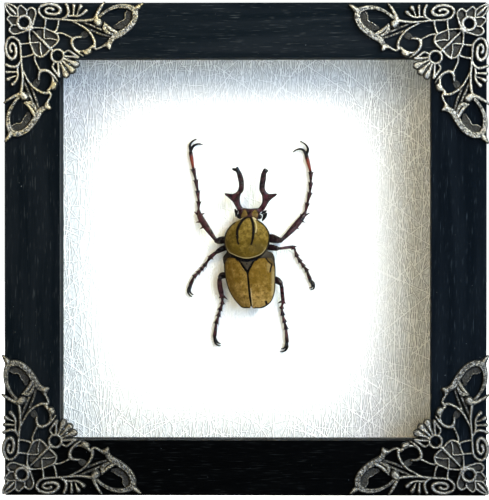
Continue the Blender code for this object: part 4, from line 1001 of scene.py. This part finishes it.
def left_wing_paint(x, z):
    """The black marks, grey parts, pale parts and brightness of one wing case."""
    mark = stroke(x, z, [(-3.0, -17.1), (-1.9, -18.3), (-1.2, -18.7), (0.4, -18.6)], 0.7)
    grey = 0.2 * patch(x, z, [(-7.2, -3.2), (-5.9, -2.8), (-6.2, -4.2), (-7.2, -5.6)], 0.5)
    return mark, grey, 0 * x, 0.22 + 0.03 * (x + 3) - 0.01 * (z + 10)


def right_wing_paint(x, z):
    """The same for the other one, whose pale parts are partly painted highlights."""
    mark = np.maximum(
        stroke(x, z, [(6.2, -2.9), (7.0, -4.0), (8.0, -4.9), (7.8, -5.8), (7.5, -7.2)], 0.5),
        stroke(x, z, [(4.6, -18.8), (6.4, -17.9), (6.2, -16.7)], 0.75),
    )
    shoulder = [(6.3, -2.6), (8.9, -2.6), (9.4, -5.2), (8.6, -5.4), (7.9, -4.2), (7.0, -3.4)]
    # a painted highlight patch, a pale band near the outer edge, and a painted highlight line beside the
    # seam
    pale = [
        0.12 * patch(x, z, [(6.7, -4.4), (7.9, -5.2), (7.3, -7.2), (6.6, -6.4)], 0.7),
        0.25 * soft(np.abs(x - 8.5), 0.5, 0.8) * soft(np.abs(z + 11), 4.5, 3),
        0.5 * stroke(x, z, [(1.45, -12.5), (1.75, -15.5), (2.0, -17.9)], 0.25, 0.3),
    ]
    tone = np.maximum(0.16 - 0.055 * (z + 10) - 0.015 * (x - 5), 0.09)
    return mark, 0.7 * patch(x, z, shoulder, 0.5), np.maximum.reduce(pale), tone


def wing_case(side, outline, middle, paint, look):
    mesh, rim = dome("wing_case_" + side, outline, middle, 190, 100, wing_height)
    x, z, height = places(mesh)
    seam = np.minimum(np.abs(x - suture(z)), to_outline(x, z, even_outline(SCUTELLUM, 60)) + 0.1)
    black_rim = np.where(seam < 0.9, 0.06, np.where(z > -3.3, 0.14, 0.34))
    mark, grey, pale, tone = paint(x, z)
    mark = np.maximum(mark, soft(-to_outline(x, z, rim), black_rim, 0.16))
    mark = np.where(height < back_height(x, z) - 0.1, 1, mark)
    masks = {"mark": mark, "grey": grey, "pale": pale, "tone": tone}
    piece("wing_case_" + side, mesh, look, ["beetle_elytron_" + side], masks, 60)


def scutellum(look):
    mesh, rim = dome("scutellum", SCUTELLUM, (0.3, -4.9), 80, 40, plate_height)
    x, z, _ = places(mesh)
    # the pin hole is a painted dark dot: painted shade for a hole that the mesh does not have
    pin_hole = soft(np.hypot(x - 0.25, z + 4.7), 0.22, 0.12)
    masks = {"mark": np.maximum(soft(-to_outline(x, z, rim), 0.14, 0.2), pin_hole), "tint": 0.9 + 0 * x}
    piece("scutellum", mesh, look, ["beetle_scutellum"], masks, 60)


def underside(look):
    mesh, _ = dome("underside", BELLY, (0.8, -4.5), 180, 70, belly_height)
    x, z, _ = places(mesh)
    grey = np.maximum(
        patch(x, z, [(5.5, -0.4), (8.4, -0.9), (9.2, -3.4), (5.4, -3.0), (4.6, -2.2)], 0.6),
        0.8 * patch(x, z, [(-7.6, -2.2), (-5.6, -1.6), (-4.6, -3.0), (-7.4, -4.2)], 0.5),
    )
    masks = {"mark": 0.55 * (1 - grey), "tint": 0.75 * grey}
    piece("underside", mesh, look, ["beetle_underside"], masks, 60)


def horn(outline):
    """An antler with a round section, from the distance to its outline, rising towards its tip."""
    rim = even_outline(outline, 260)
    low, high = rim.min(0) - 3 * HORN_STEP, rim.max(0) + 3 * HORN_STEP
    u, v = np.meshgrid(np.arange(low[0], high[0], HORN_STEP), np.arange(low[1], high[1], HORN_STEP))
    field = to_outline(u, v, rim) - HORN_GROWTH
    deep = np.clip(-field / 0.85, 0, 1)
    thick = 0.12 + 0.68 * np.sqrt(deep * (2 - deep))
    points, faces, _ = relief(field, u, v, HORN_STEP, thick, -thick, (0.1, -0.1), field)
    height = 4.0 + 0.14 * (points[:, 1] - 12.0) + points[:, 2]
    return mesh_of("horn", on_paper(points[:, 0], points[:, 1], height), faces.tolist())


def sweep(points, sides, flat=1.0):
    """A closed limb with round ends through (x, z, height, width) points."""
    points = np.asarray(points, float)
    centre = on_paper(points[:, 0], points[:, 1], points[:, 2])
    radius = points[:, 3] * MM / 2
    tangent = np.gradient(centre, axis=0)
    tangent /= np.linalg.norm(tangent, axis=1)[:, None]
    rounding = np.radians([75, 50, 25])
    bulge = 0.8
    start = [centre[0] - tangent[0] * radius[0] * bulge * sin(a) for a in rounding]
    end = [centre[-1] + tangent[-1] * radius[-1] * bulge * sin(a) for a in rounding[::-1]]
    centre = np.vstack([start, centre, end])
    radius = np.concatenate([radius[0] * np.cos(rounding), radius, radius[-1] * np.cos(rounding[::-1])])
    tangent = np.vstack([tangent[:1]] * 3 + [tangent] + [tangent[-1:]] * 3)
    outward = np.array([0.0, -1.0, 0.0]) - tangent * -tangent[:, 1:2]
    outward /= np.linalg.norm(outward, axis=1)[:, None]
    side = np.cross(outward, tangent)
    turns = 2 * pi * np.arange(sides) / sides
    right, out = np.cos(turns)[None, :, None], flat * np.sin(turns)[None, :, None]
    rings = centre[:, None] + radius[:, None, None] * (right * side[:, None] + out * outward[:, None])
    number = np.arange(len(centre) * sides).reshape(-1, sides)
    nexts = np.roll(number, -1, axis=1)
    quads = np.stack([number[:-1], nexts[:-1], nexts[1:], number[1:]], axis=-1).reshape(-1, 4)
    caps = [number[0][::-1].tolist(), number[-1].tolist()]
    return mesh_of("limb", rings.reshape(-1, 3), quads.tolist() + caps)


def ball(x, z, height, radius):
    """A round bead."""
    rings, segments = 12, 20
    turns = 2 * pi * np.arange(segments) / segments
    points = [(0, 0, 1)]
    for a in np.linspace(pi / 2, -pi / 2, rings + 1)[1:-1]:
        points += [(cos(a) * cos(b), cos(a) * sin(b), sin(a)) for b in turns]
    right, up, out = (np.array([*points, (0, 0, -1)]) * radius).T
    return mesh_of("ball", on_paper(x + right, z + up, height + out), capped_rings(rings - 1, segments))


def head(look):
    skull, _ = dome("skull", HEAD, (1.0, 11.0), 120, 60, head_height)
    eyes = [ball(x, z, EYE_HEIGHT, EYE_RADIUS) for x, z in EYES]
    mesh = union("head", [skull, horn(LEFT_HORN), horn(RIGHT_HORN), *eyes])
    x, z, height = places(mesh)
    olive = 0.55 * np.maximum.reduce([patch(x, z, plate) for plate in HEAD_PLATES])
    # painted highlights on the olive plates' edges
    plate_highlights = [stroke(x, z, edge, 0.3, 0.25) for edge in PLATE_HIGHLIGHTS]
    off_horns = [to_outline(x, z, even_outline(outline, 120)) for outline in (LEFT_HORN, RIGHT_HORN)]
    black = [
        # the horns' tips, stems and sides
        soft(-z, -23.6, 1.6),
        0.6 * soft(-z, -18.8, 1.6),
        0.8 * soft(-np.minimum(*off_horns), 0.18, 0.3) * (z > 12.9),
        # the band between the horns, the eyes and the head's underside
        0.9 * stroke(x, z, [(-1.0, 12.7), (1.4, 12.6), (3.9, 12.7)], 0.45),
        soft(np.hypot(x + 2.6, z - 10.3), 0.95, 0.2),
        soft(np.hypot(x - 4.5, z - 10.1), 0.95, 0.2),
        soft(height, 3.0, 0.6) * (z < 13),
    ]
    masks = {
        "tint": np.maximum.reduce([olive, *plate_highlights]) * (height > 3.6),
        "mark": np.maximum.reduce(black),
    }
    piece("head_and_horns", mesh, look, ["beetle_head"], masks, 55)


ANTENNAE = {
    # parts as (x, z, height, width) points, steps from each point to the next, sides and flatness
    "left": [
        ([(-2.75, 11.3, 3.4, 0.32), (-3.1, 11.4, 3.2, 0.36), (-3.4, 11.4, 3.0, 0.4)], 3, 10, 1.0),
        ([(-3.35, 10.2, 2.6, 0.4), (-3.3, 11.1, 2.9, 0.7), (-3.4, 11.9, 3.1, 0.85), (-3.6, 12.4, 3.1, 0.5)],
         5, 14, 0.8),
        ([(-3.1, 10.6, 2.5, 0.3), (-2.95, 11.5, 2.6, 0.5), (-2.85, 12.1, 2.7, 0.3)], 5, 12, 0.8),
    ],
    "right": [
        ([(4.5, 11.2, 3.4, 0.32), (5.1, 11.2, 3.15, 0.36), (5.3, 10.6, 2.9, 0.4), (5.25, 9.6, 2.7, 0.4),
          (5.2, 8.9, 2.6, 0.35)], 5, 10, 1.0),
        ([(5.0, 8.9, 2.7, 0.5), (5.5, 9.7, 2.9, 1.0), (6.0, 10.6, 3.0, 1.0), (6.35, 11.2, 3.0, 0.5)],
         6, 16, 0.75),
        ([(5.35, 10.0, 3.0, 0.4), (5.75, 10.8, 3.2, 0.6), (6.0, 11.3, 3.2, 0.35)], 5, 12, 0.6),
        ([(4.75, 11.1, 3.1, 0.5), (5.5, 11.55, 3.1, 0.95), (6.2, 11.95, 3.1, 0.55)], 6, 14, 0.8),
    ],
}


def antenna(side, form, look):
    """Short, with a leaved club, tucked beside the head."""
    parts = [sweep(smooth_path(points, steps), *section) for points, steps, *section in form]
    mesh = union("antenna_" + side, parts)
    count = len(mesh.vertices)
    masks = {"mark": np.full(count, 0.75), "tint": np.zeros(count)}
    piece("antenna_" + side, mesh, look, ["beetle_antenna_" + side], masks, 55)


LEGS = {
    # thigh and shin as (x, z, height, width), foot and claws as (x, z), spines as root, tip and height
    "front_left": {
        "thigh": [
            (-6.3, 2.9, 2.4, 2.1), (-7.6, 2.75, 2.8, 2.35), (-8.8, 2.5, 3.2, 2.1), (-9.6, 2.5, 3.5, 1.5),
        ],
        "shin": [
            (-9.55, 2.55, 3.5, 1.1), (-10.4, 3.7, 3.4, 1.3), (-11.8, 5.6, 2.8, 1.8),
            (-13.2, 7.6, 2.2, 2.1), (-14.4, 9.5, 1.7, 2.0), (-15.1, 11.2, 1.3, 1.5),
            (-15.2, 12.3, 1.0, 0.8),
        ],
        "foot": [
            (-15.2, 12.3), (-15.15, 14.8), (-15.5, 18.2), (-16.05, 21.6), (-16.85, 25.1), (-17.75, 30.6),
        ],
        "claws": [
            [(-17.7, 31.1), (-17.95, 32.6), (-17.4, 33.7), (-16.6, 34.3), (-15.9, 34.65)],
            [(-17.6, 31.2), (-16.9, 32.4), (-15.8, 33.0), (-14.8, 33.1), (-14.0, 32.9)],
        ],
        "spines": [
            (-13.5, 7.0, -14.8, 6.2, 2.3), (-14.4, 8.6, -16.1, 8.3, 1.9), (-15.0, 10.4, -16.6, 11.7, 1.5),
            (-14.7, 10.6, -13.2, 11.3, 1.5),
        ],
    },
    "front_right": {
        "thigh": [(6.5, 3.4, 2.4, 2.6), (8.2, 3.2, 2.8, 2.8), (9.8, 2.8, 3.2, 2.2), (10.9, 2.6, 3.5, 1.5)],
        "shin": [
            (10.85, 2.6, 3.5, 1.1), (11.9, 3.5, 3.3, 1.3), (13.3, 4.9, 2.8, 1.6), (14.9, 6.6, 2.2, 2.0),
            (16.4, 8.4, 1.8, 2.0), (17.8, 10.2, 1.4, 1.6), (18.6, 11.6, 1.1, 0.85),
        ],
        "foot": [(18.6, 11.6), (19.2, 14.3), (20.0, 17.6), (20.3, 20.8), (20.3, 24.1), (18.85, 29.6)],
        "claws": [
            [(18.9, 29.9), (19.4, 31.2), (19.1, 32.3), (18.3, 33.2), (17.0, 34.0)],
            [(18.7, 30.0), (18.0, 31.1), (17.0, 31.5), (15.8, 31.3), (14.7, 30.6)],
        ],
        "spines": [
            (15.4, 6.9, 16.7, 6.1, 2.2), (16.9, 8.8, 18.7, 8.3, 1.8), (18.0, 10.3, 20.2, 11.4, 1.4),
            (17.5, 9.8, 16.9, 11.2, 1.5),
        ],
    },
    "mid_left": {
        "thigh": [(-6.5, 0.4, 2.2, 1.9), (-7.8, -0.1, 2.6, 1.8), (-9.2, -0.9, 2.9, 1.4)],
        "shin": [
            (-8.9, -0.7, 2.9, 1.0), (-9.6, -1.15, 2.8, 1.05), (-10.6, -1.95, 2.4, 1.2),
            (-11.5, -2.8, 1.9, 1.2), (-12.3, -3.9, 1.2, 0.7),
        ],
        "foot": [(-12.3, -3.9), (-13.3, -5.3), (-14.3, -6.5), (-15.4, -7.7), (-16.6, -8.9), (-17.8, -11.4)],
        "claws": [
            [(-17.8, -11.5), (-18.55, -13.2), (-18.2, -14.5), (-17.3, -15.3)],
            [(-17.7, -11.6), (-18.0, -13.2), (-17.6, -14.1), (-16.9, -14.6)],
        ],
        "spines": [(-11.2, -2.4, -12.4, -2.5, 2.0), (-11.3, -2.8, -10.5, -3.4, 2.0)],
    },
    "mid_right": {
        "thigh": [(6.5, 0.6, 2.2, 1.9), (8.2, 0.35, 2.6, 1.9), (9.6, 0.1, 2.9, 1.6)],
        "shin": [
            (9.5, 0.15, 2.9, 1.1), (10.7, 0.1, 2.9, 0.9), (12.6, 0.35, 2.5, 0.95), (14.4, 0.5, 2.0, 1.05),
            (15.1, 0.0, 1.5, 0.8), (15.4, -0.9, 1.1, 0.65),
        ],
        "foot": [(15.4, -0.9), (15.9, -2.3), (17.0, -4.1), (18.1, -5.6), (19.1, -7.0), (20.1, -9.8)],
        "claws": [
            [(20.0, -10.0), (21.1, -10.8), (21.4, -11.8), (21.1, -12.7), (20.3, -13.0)],
            [(20.0, -10.1), (20.6, -11.0), (20.8, -11.7), (20.5, -12.3), (19.9, -12.4)],
        ],
        "spines": [(14.6, 0.6, 15.9, 0.75, 2.0), (14.8, 0.2, 14.1, -0.35, 1.9)],
    },
    "hind_left": {
        "thigh": [(-6.7, -8.4, 2.2, 2.0), (-7.7, -8.5, 2.8, 2.1), (-8.3, -9.0, 3.1, 1.7)],
        "shin": [
            (-8.35, -9.0, 3.1, 1.2), (-8.5, -10.3, 3.0, 1.5), (-8.35, -12.2, 2.5, 1.7),
            (-8.0, -14.0, 2.0, 1.6), (-7.7, -15.4, 1.6, 1.2), (-7.65, -16.3, 1.2, 0.7),
        ],
        "foot": [
            (-7.65, -16.3), (-7.7, -17.4), (-8.4, -19.4), (-8.9, -21.3), (-9.6, -23.6), (-10.15, -27.9),
        ],
        "claws": [
            [(-10.1, -28.1), (-10.0, -29.5), (-9.4, -30.4), (-8.1, -30.75)],
            [(-10.1, -28.0), (-9.6, -29.1), (-9.0, -29.8), (-8.2, -30.0)],
        ],
        "spines": [(-7.6, -14.7, -6.0, -16.1, 1.8), (-8.0, -15.0, -8.8, -15.7, 1.7)],
    },
    "hind_right": {
        "thigh": [(8.7, -9.6, 2.2, 2.1), (9.8, -10.1, 2.8, 2.2), (10.8, -10.9, 3.1, 1.6)],
        "shin": [
            (10.75, -10.8, 3.1, 1.1), (11.1, -12.0, 3.0, 1.2), (11.25, -13.6, 2.4, 1.2),
            (11.4, -15.4, 2.0, 1.2), (11.5, -16.8, 1.6, 1.2), (11.3, -17.7, 1.2, 0.7),
        ],
        "foot": [(11.3, -17.7), (11.1, -18.8), (11.4, -21.0), (12.0, -23.2), (12.5, -25.4), (12.8, -29.6)],
        "claws": [
            [(12.7, -29.8), (12.9, -31.0), (12.4, -32.0), (11.6, -32.5), (10.6, -32.6)],
            [(12.7, -29.8), (12.3, -30.9), (11.8, -31.5), (11.0, -31.7)],
        ],
        "spines": [(11.4, -16.5, 9.8, -17.3, 1.6), (11.6, -16.6, 12.4, -17.5, 1.6)],
    },
}

# How a foot's joint swells from its start to its end, as (share of the way, width)
JOINT_SHAPE = [(0.0, 0.70), (0.12, 0.72), (0.5, 0.95), (0.8, 1.30), (0.93, 1.48), (1.0, 1.15)]
LAST_JOINT_SHAPE = [(0.0, 0.75), (0.15, 0.85), (0.5, 1.1), (0.8, 1.25), (0.95, 1.25), (1.0, 1.05)]


def foot_parts(joints):
    """The beads of a foot, all but the last with two small spikes at their ends."""
    parts = []
    for start, end in zip(joints[:-1], joints[1:]):
        last = end == joints[-1]
        points = []
        for share, width in (LAST_JOINT_SHAPE if last else JOINT_SHAPE):
            x, z = (start[axis] + share * (end[axis] - start[axis]) for axis in (0, 1))
            points.append((x, z, FOOT_HEIGHT + 0.25 * sin(pi * share), width))
        parts.append(sweep(smooth_path(points, 3), 12))
        far = hypot(end[0] - start[0], end[1] - start[1])
        dx, dz = (end[0] - start[0]) / far, (end[1] - start[1]) / far
        for side in () if last else (-1, 1):
            x, z = end[0] - 0.25 * dx + side * 0.3 * dz, end[1] - 0.25 * dz - side * 0.3 * dx
            tip_x, tip_z = x + 0.45 * dx + side * 0.65 * dz, z + 0.45 * dz - side * 0.65 * dx
            parts.append(sweep([(x, z, FOOT_HEIGHT, 0.42), (tip_x, tip_z, FOOT_HEIGHT + 0.1, 0.1)], 8))
    return parts


def claw(path):
    path = smooth_path(path, 6)
    share = np.linspace(0, 1, len(path))
    height, width = 0.8 - 0.25 * share + 0.3 * np.sin(pi * share), 1.0 - 0.70 * share
    return sweep(np.column_stack([path, height, width]), 10)


def spine(x, z, tip_x, tip_z, height):
    middle = ((x + tip_x) / 2, (z + tip_z) / 2, height, 0.58)
    return sweep(smooth_path([(x, z, height, 0.95), middle, (tip_x, tip_z, height, 0.1)], 3), 10, 0.8)


def leg(name, form, look):
    thigh, shin = smooth_path(form["thigh"], 6), smooth_path(form["shin"], 5)
    mesh = union("leg_" + name, [
        sweep(thigh, 20, 0.85), sweep(shin, 18, 0.7), ball(*form["shin"][0][:3], KNEE_RADIUS),
        *foot_parts(form["foot"]), *(claw(path) for path in form["claws"]),
        *(spine(*ends) for ends in form["spines"]),
    ])
    x, z, _ = places(mesh)
    off_joints = np.minimum.reduce([np.hypot(x - jx, z - jz) for jx, jz in form["foot"]])
    off_shin, off_thigh = (to_line(x, z, limb[:, :2])[0] for limb in (shin, thigh))
    off_claws = np.minimum.reduce([to_line(x, z, path)[0] for path in form["claws"]])
    black = [
        0.85 * soft(off_joints, 0.5, 0.7) * (off_shin >= 1.2), off_claws < 0.45,
        0.75 * soft(off_thigh, 1.3, 0.5),
    ]
    red = 0 * x
    if name.startswith("front"):
        off_last, along = to_line(x, z, form["foot"][-2:])
        red = (off_last < 0.8) * soft(np.abs(along - 0.45), 0.33, 0.25)
    masks = {"mark": np.maximum.reduce(black), "tint": red}
    piece("leg_" + name, mesh, look, ["beetle_leg_" + name], masks, 55)


def beetle():
    # each shell's dull, bright and blotch tones, and each chitin's dark, light and masked tones
    ochre = shell_look("ochre_pronotum", (0.066, 0.041, 0.004), (0.265, 0.18, 0.042), (0.038, 0.023, 0.003))
    tan = shell_look("ochre_wings", (0.098, 0.055, 0.006), (0.34, 0.216, 0.070), (0.058, 0.033, 0.005))
    grey = chitin_look(
        "grey_chitin", (0.006, 0.0055, 0.005), (0.015, 0.014, 0.012), (0.041, 0.031, 0.021), gloss=0.03,
    )
    maroon = chitin_look("maroon_chitin", (0.006, 0.0013, 0.0018), (0.052, 0.009, 0.016), (0.15, 0.1, 0.014))
    red = chitin_look("leg_chitin", (0.005, 0.0013, 0.0018), (0.045, 0.008, 0.013), (0.13, 0.02, 0.008))
    pronotum(ochre)
    wing_case("left", LEFT_WING, (-3.2, -9.6), left_wing_paint, tan)
    wing_case("right", RIGHT_WING, (5.0, -9.9), right_wing_paint, tan)
    scutellum(grey)
    underside(grey)
    head(maroon)
    for side, form in ANTENNAE.items():
        antenna(side, form, grey)
    for name, form in LEGS.items():
        leg(name, form, red)


# Frame and back

def finish_nodes():
    """Better finishes, and rounded edges, on the CAD pieces that stay."""
    nodes = frame["nodes"]
    woods = {
        # axis of the grain, painted light level and painted cool tint: each rail is a lit or shaded copy of
        # one wood, painted light and shade
        "top": (0, 1.10, 0.95), "bottom": (0, 0.08), "left": (2, 0.75, 0.97), "right": (2, 0.58, 1.18),
    }
    lining, steel = black_lining(), plain_steel()
    for side, tone in woods.items():
        soften(nodes["rail_" + side], black_wood("wood_" + side, *tone), 0.3 * MM)
        soften(nodes["liner_" + side], lining, 0.25 * MM)
        soften(nodes["point_" + side], steel, 0.08 * MM)
    mitre_glue(lining)
    soften(nodes["back_board"], brown_board(), 0.4 * MM)
    soften(nodes["sawtooth_hanger"], steel, 0.12 * MM)
    for side in ("left", "right"):
        nail(side, steel)
    glass = nodes["glass_pane"]
    dress(glass, clear_glass())
    glass.data.shade_flat()
    glass.visible_shadow = False
    glass.visible_diffuse = False


def mitre_glue(look):
    """The thin dark glue line in each mitre, from the rails' faces to their rebate."""
    rail_in, rebate_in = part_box("rail_left")[1].x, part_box("glass_pane")[0].x
    glass_y, shy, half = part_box("glass_pane")[0].y, 0.5 * MM, 0.06 * MM
    width, rebate = rail_in - rail_low.x - shy, rebate_in - rail_low.x - 2 * shy
    outline = [
        (shy, rail_low.y + shy), (width, rail_low.y + shy), (width, glass_y - shy), (rebate, glass_y - shy),
        (rebate, rail_high.y - shy), (shy, rail_high.y - shy),
    ]
    count = len(outline)
    corners = (("top_left", -1, 1), ("top_right", 1, 1), ("bottom_left", -1, -1), ("bottom_right", 1, -1))
    for name, right, up in corners:
        points = [
            (right * (-rail_low.x - inward - side), y, CENTRE_Z + up * (CENTRE_Z - inward + side))
            for side in (-half, half) for inward, y in outline
        ]
        near, far = list(range(count)), list(range(count, 2 * count))
        sides = zip(near, far, far[1:] + far[:1], near[1:] + near[:1])
        faces = [near, far[::-1], *(list(side) for side in sides)]
        if right * up > 0:
            faces = [face[::-1] for face in faces]
        piece("mitre_glue_" + name, mesh_of("mitre_glue", points, faces), look)


def dress(node_object, look):
    """A finish in place of the CAD one, with plain normals."""
    mesh = node_object.data
    mesh.materials.clear()
    mesh.materials.append(look)
    if "custom_normal" in mesh.attributes:
        mesh.attributes.remove(mesh.attributes["custom_normal"])


def soften(node_object, look, width):
    """A finish, and rounded edges."""
    dress(node_object, look)
    node_object.data.shade_smooth()
    weld = node_object.modifiers.new("weld", "WELD")
    weld.merge_threshold = 0.00001
    bevel = node_object.modifiers.new("round_edges", "BEVEL")
    bevel.width = width
    bevel.segments = 3
    bevel.limit_method = "ANGLE"
    bevel.angle_limit = radians(40)
    bevel.harden_normals = True


def nail(side, look):
    """A turned nail with a domed head."""
    low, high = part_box("hanger_nail_" + side)
    x, z, radius = (low.x + high.x) / 2, (low.z + high.z) / 2, (high.x - low.x) / 2
    shank, dome_height, steps, segments = radius * 0.4, radius * 0.5, 8, 28
    head_y, lip = high.y - dome_height, 0.1 * MM
    turns = [pi / 2 * step / steps for step in range(1, steps + 1)]
    profile = [(radius * sin(a), head_y + dome_height * cos(a)) for a in turns]
    profile += [(radius * 0.97, head_y - lip), (shank, head_y - lip), (shank, low.y + 1.5 * MM)]
    points = [(x, high.y, z)]
    for r, y in profile:
        points += [(x + r * cos(a), y, z + r * sin(a)) for a in 2 * pi * np.arange(segments) / segments]
    points.append((x, low.y, z))
    mesh = mesh_of("nail_" + side, points, capped_rings(len(profile), segments))
    piece("nail_" + side, mesh, look, ["hanger_nail_" + side], sharp=40)


# Stage, light and camera

def floor():
    """A plain pale floor, evenly white away from the frame."""
    front, back, side = -0.9, 4.0, 4.0
    corners = [(-side, front, 0), (side, front, 0), (side, back, 0), (-side, back, 0)]
    mesh = mesh_of("floor", corners, [(0, 1, 2, 3)])
    made = link(bpy.data.objects.new("floor", mesh))
    look, tree = new_look(
        "pale_floor", base_color=(0.9, 0.9, 0.9), roughness=0.9, specular_ior_level=0.1,
        emission_color=(1, 1, 1),
    )
    away = node(tree, "VectorMath", {0: node(tree, "TexCoord").outputs["Object"]}, operation="LENGTH")
    white = ramp(tree, away.outputs["Value"], 0.08, 0.5, 0.85, 1.1)
    fill(look, emission_strength=times(tree, white, node(tree, "LightPath").outputs["Is Camera Ray"]))
    mesh.materials.append(look)
    made.visible_glossy = False


def world():
    """White behind the object, and a dimmer light all round it."""
    made = bpy.data.worlds.new("studio")
    bpy.context.scene.world = made
    made.use_nodes = True
    tree = made.node_tree
    around = tree.nodes["Background"]
    feed(tree, around.inputs["Color"], (0.95, 0.98, 1.0))
    feed(tree, around.inputs["Strength"], 0.03)
    behind = node(tree, "Background", {"Color": (0.985, 1.0, 1.0), "Strength": 1.0})
    seen = node(tree, "LightPath").outputs["Is Camera Ray"]
    both = node(tree, "MixShader", {0: seen, 1: around.outputs[0], 2: behind.outputs[0]})
    feed(tree, tree.nodes["World Output"].inputs[0], both.outputs[0])


def softbox(name, right, up, distance, size, power, colour):
    """A square light, at angles to the right of and above the line from the picture to the viewer."""
    lamp = bpy.data.lights.new(name, "AREA")
    lamp.shape = "SQUARE"
    lamp.size = size
    lamp.energy = power
    lamp.color = colour
    made = link(bpy.data.objects.new(name, lamp))
    a, e = radians(right), radians(up)
    away = Vector((sin(a) * cos(e), -cos(a) * cos(e), sin(e)))
    made.location = Vector((0, 0, CENTRE_Z)) + away * distance
    made.rotation_euler = away.to_track_quat("Z", "Y").to_euler()


def lights():
    """Plain soft light from the right, with a dim one behind for the back board."""
    for lamp in (
        # name, degrees right and up, distance and size in metres, power, colour
        ("key", 53, 38, 1.1, 0.25, 11.7, (0.93, 1.0, 0.82)),
        ("second", 40, 25, 1.1, 0.25, 5.8, (0.86, 0.87, 1.0)),
        ("high_right", 24, 27, 1.1, 0.40, 3.6, (1.0, 0.84, 0.48)),
        ("near_right", 28, 8, 1.1, 0.45, 6.2, (0.45, 0.66, 1.0)),
        ("far_right", 50, 5, 1.1, 0.30, 1.4, (0.16, 0.44, 1.0)),
        ("high_left", -30, 25, 1.1, 0.45, 4.3, (1.0, 0.80, 0.45)),
        ("behind", 205, 30, 1.3, 0.8, 12.0, (1.0, 0.99, 0.97)),
    ):
        softbox(*lamp)


def camera():
    """At the photograph's place, turned to put the frame's middle where the photograph has it."""
    lens = bpy.data.cameras.new("camera")
    lens.sensor_fit = "HORIZONTAL"
    lens.sensor_width = SENSOR_W
    lens.lens = SENSOR_W * CAMERA_DISTANCE / (PHOTO_W * MM_PER_PIXEL * MM)
    made = link(bpy.data.objects.new("camera", lens))
    place = Vector((CAMERA_RIGHT, FRONT_Y - CAMERA_DISTANCE, CENTRE_Z + CAMERA_UP))
    aim = Vector((
        (PHOTO_W / 2 - FRAME_PIXEL[0]) * MM_PER_PIXEL * MM, FRONT_Y,
        CENTRE_Z - (PHOTO_H / 2 - FRAME_PIXEL[1]) * MM_PER_PIXEL * MM,
    ))
    made.location = place
    made.rotation_euler = (place - aim).to_track_quat("Z", "Y").to_euler()
    bpy.context.scene.camera = made


camera()
world()
lights()
floor()
finish_nodes()
castings()
paper(white_paper())
beetle()
bpy.context.scene.view_settings.view_transform = "Standard"
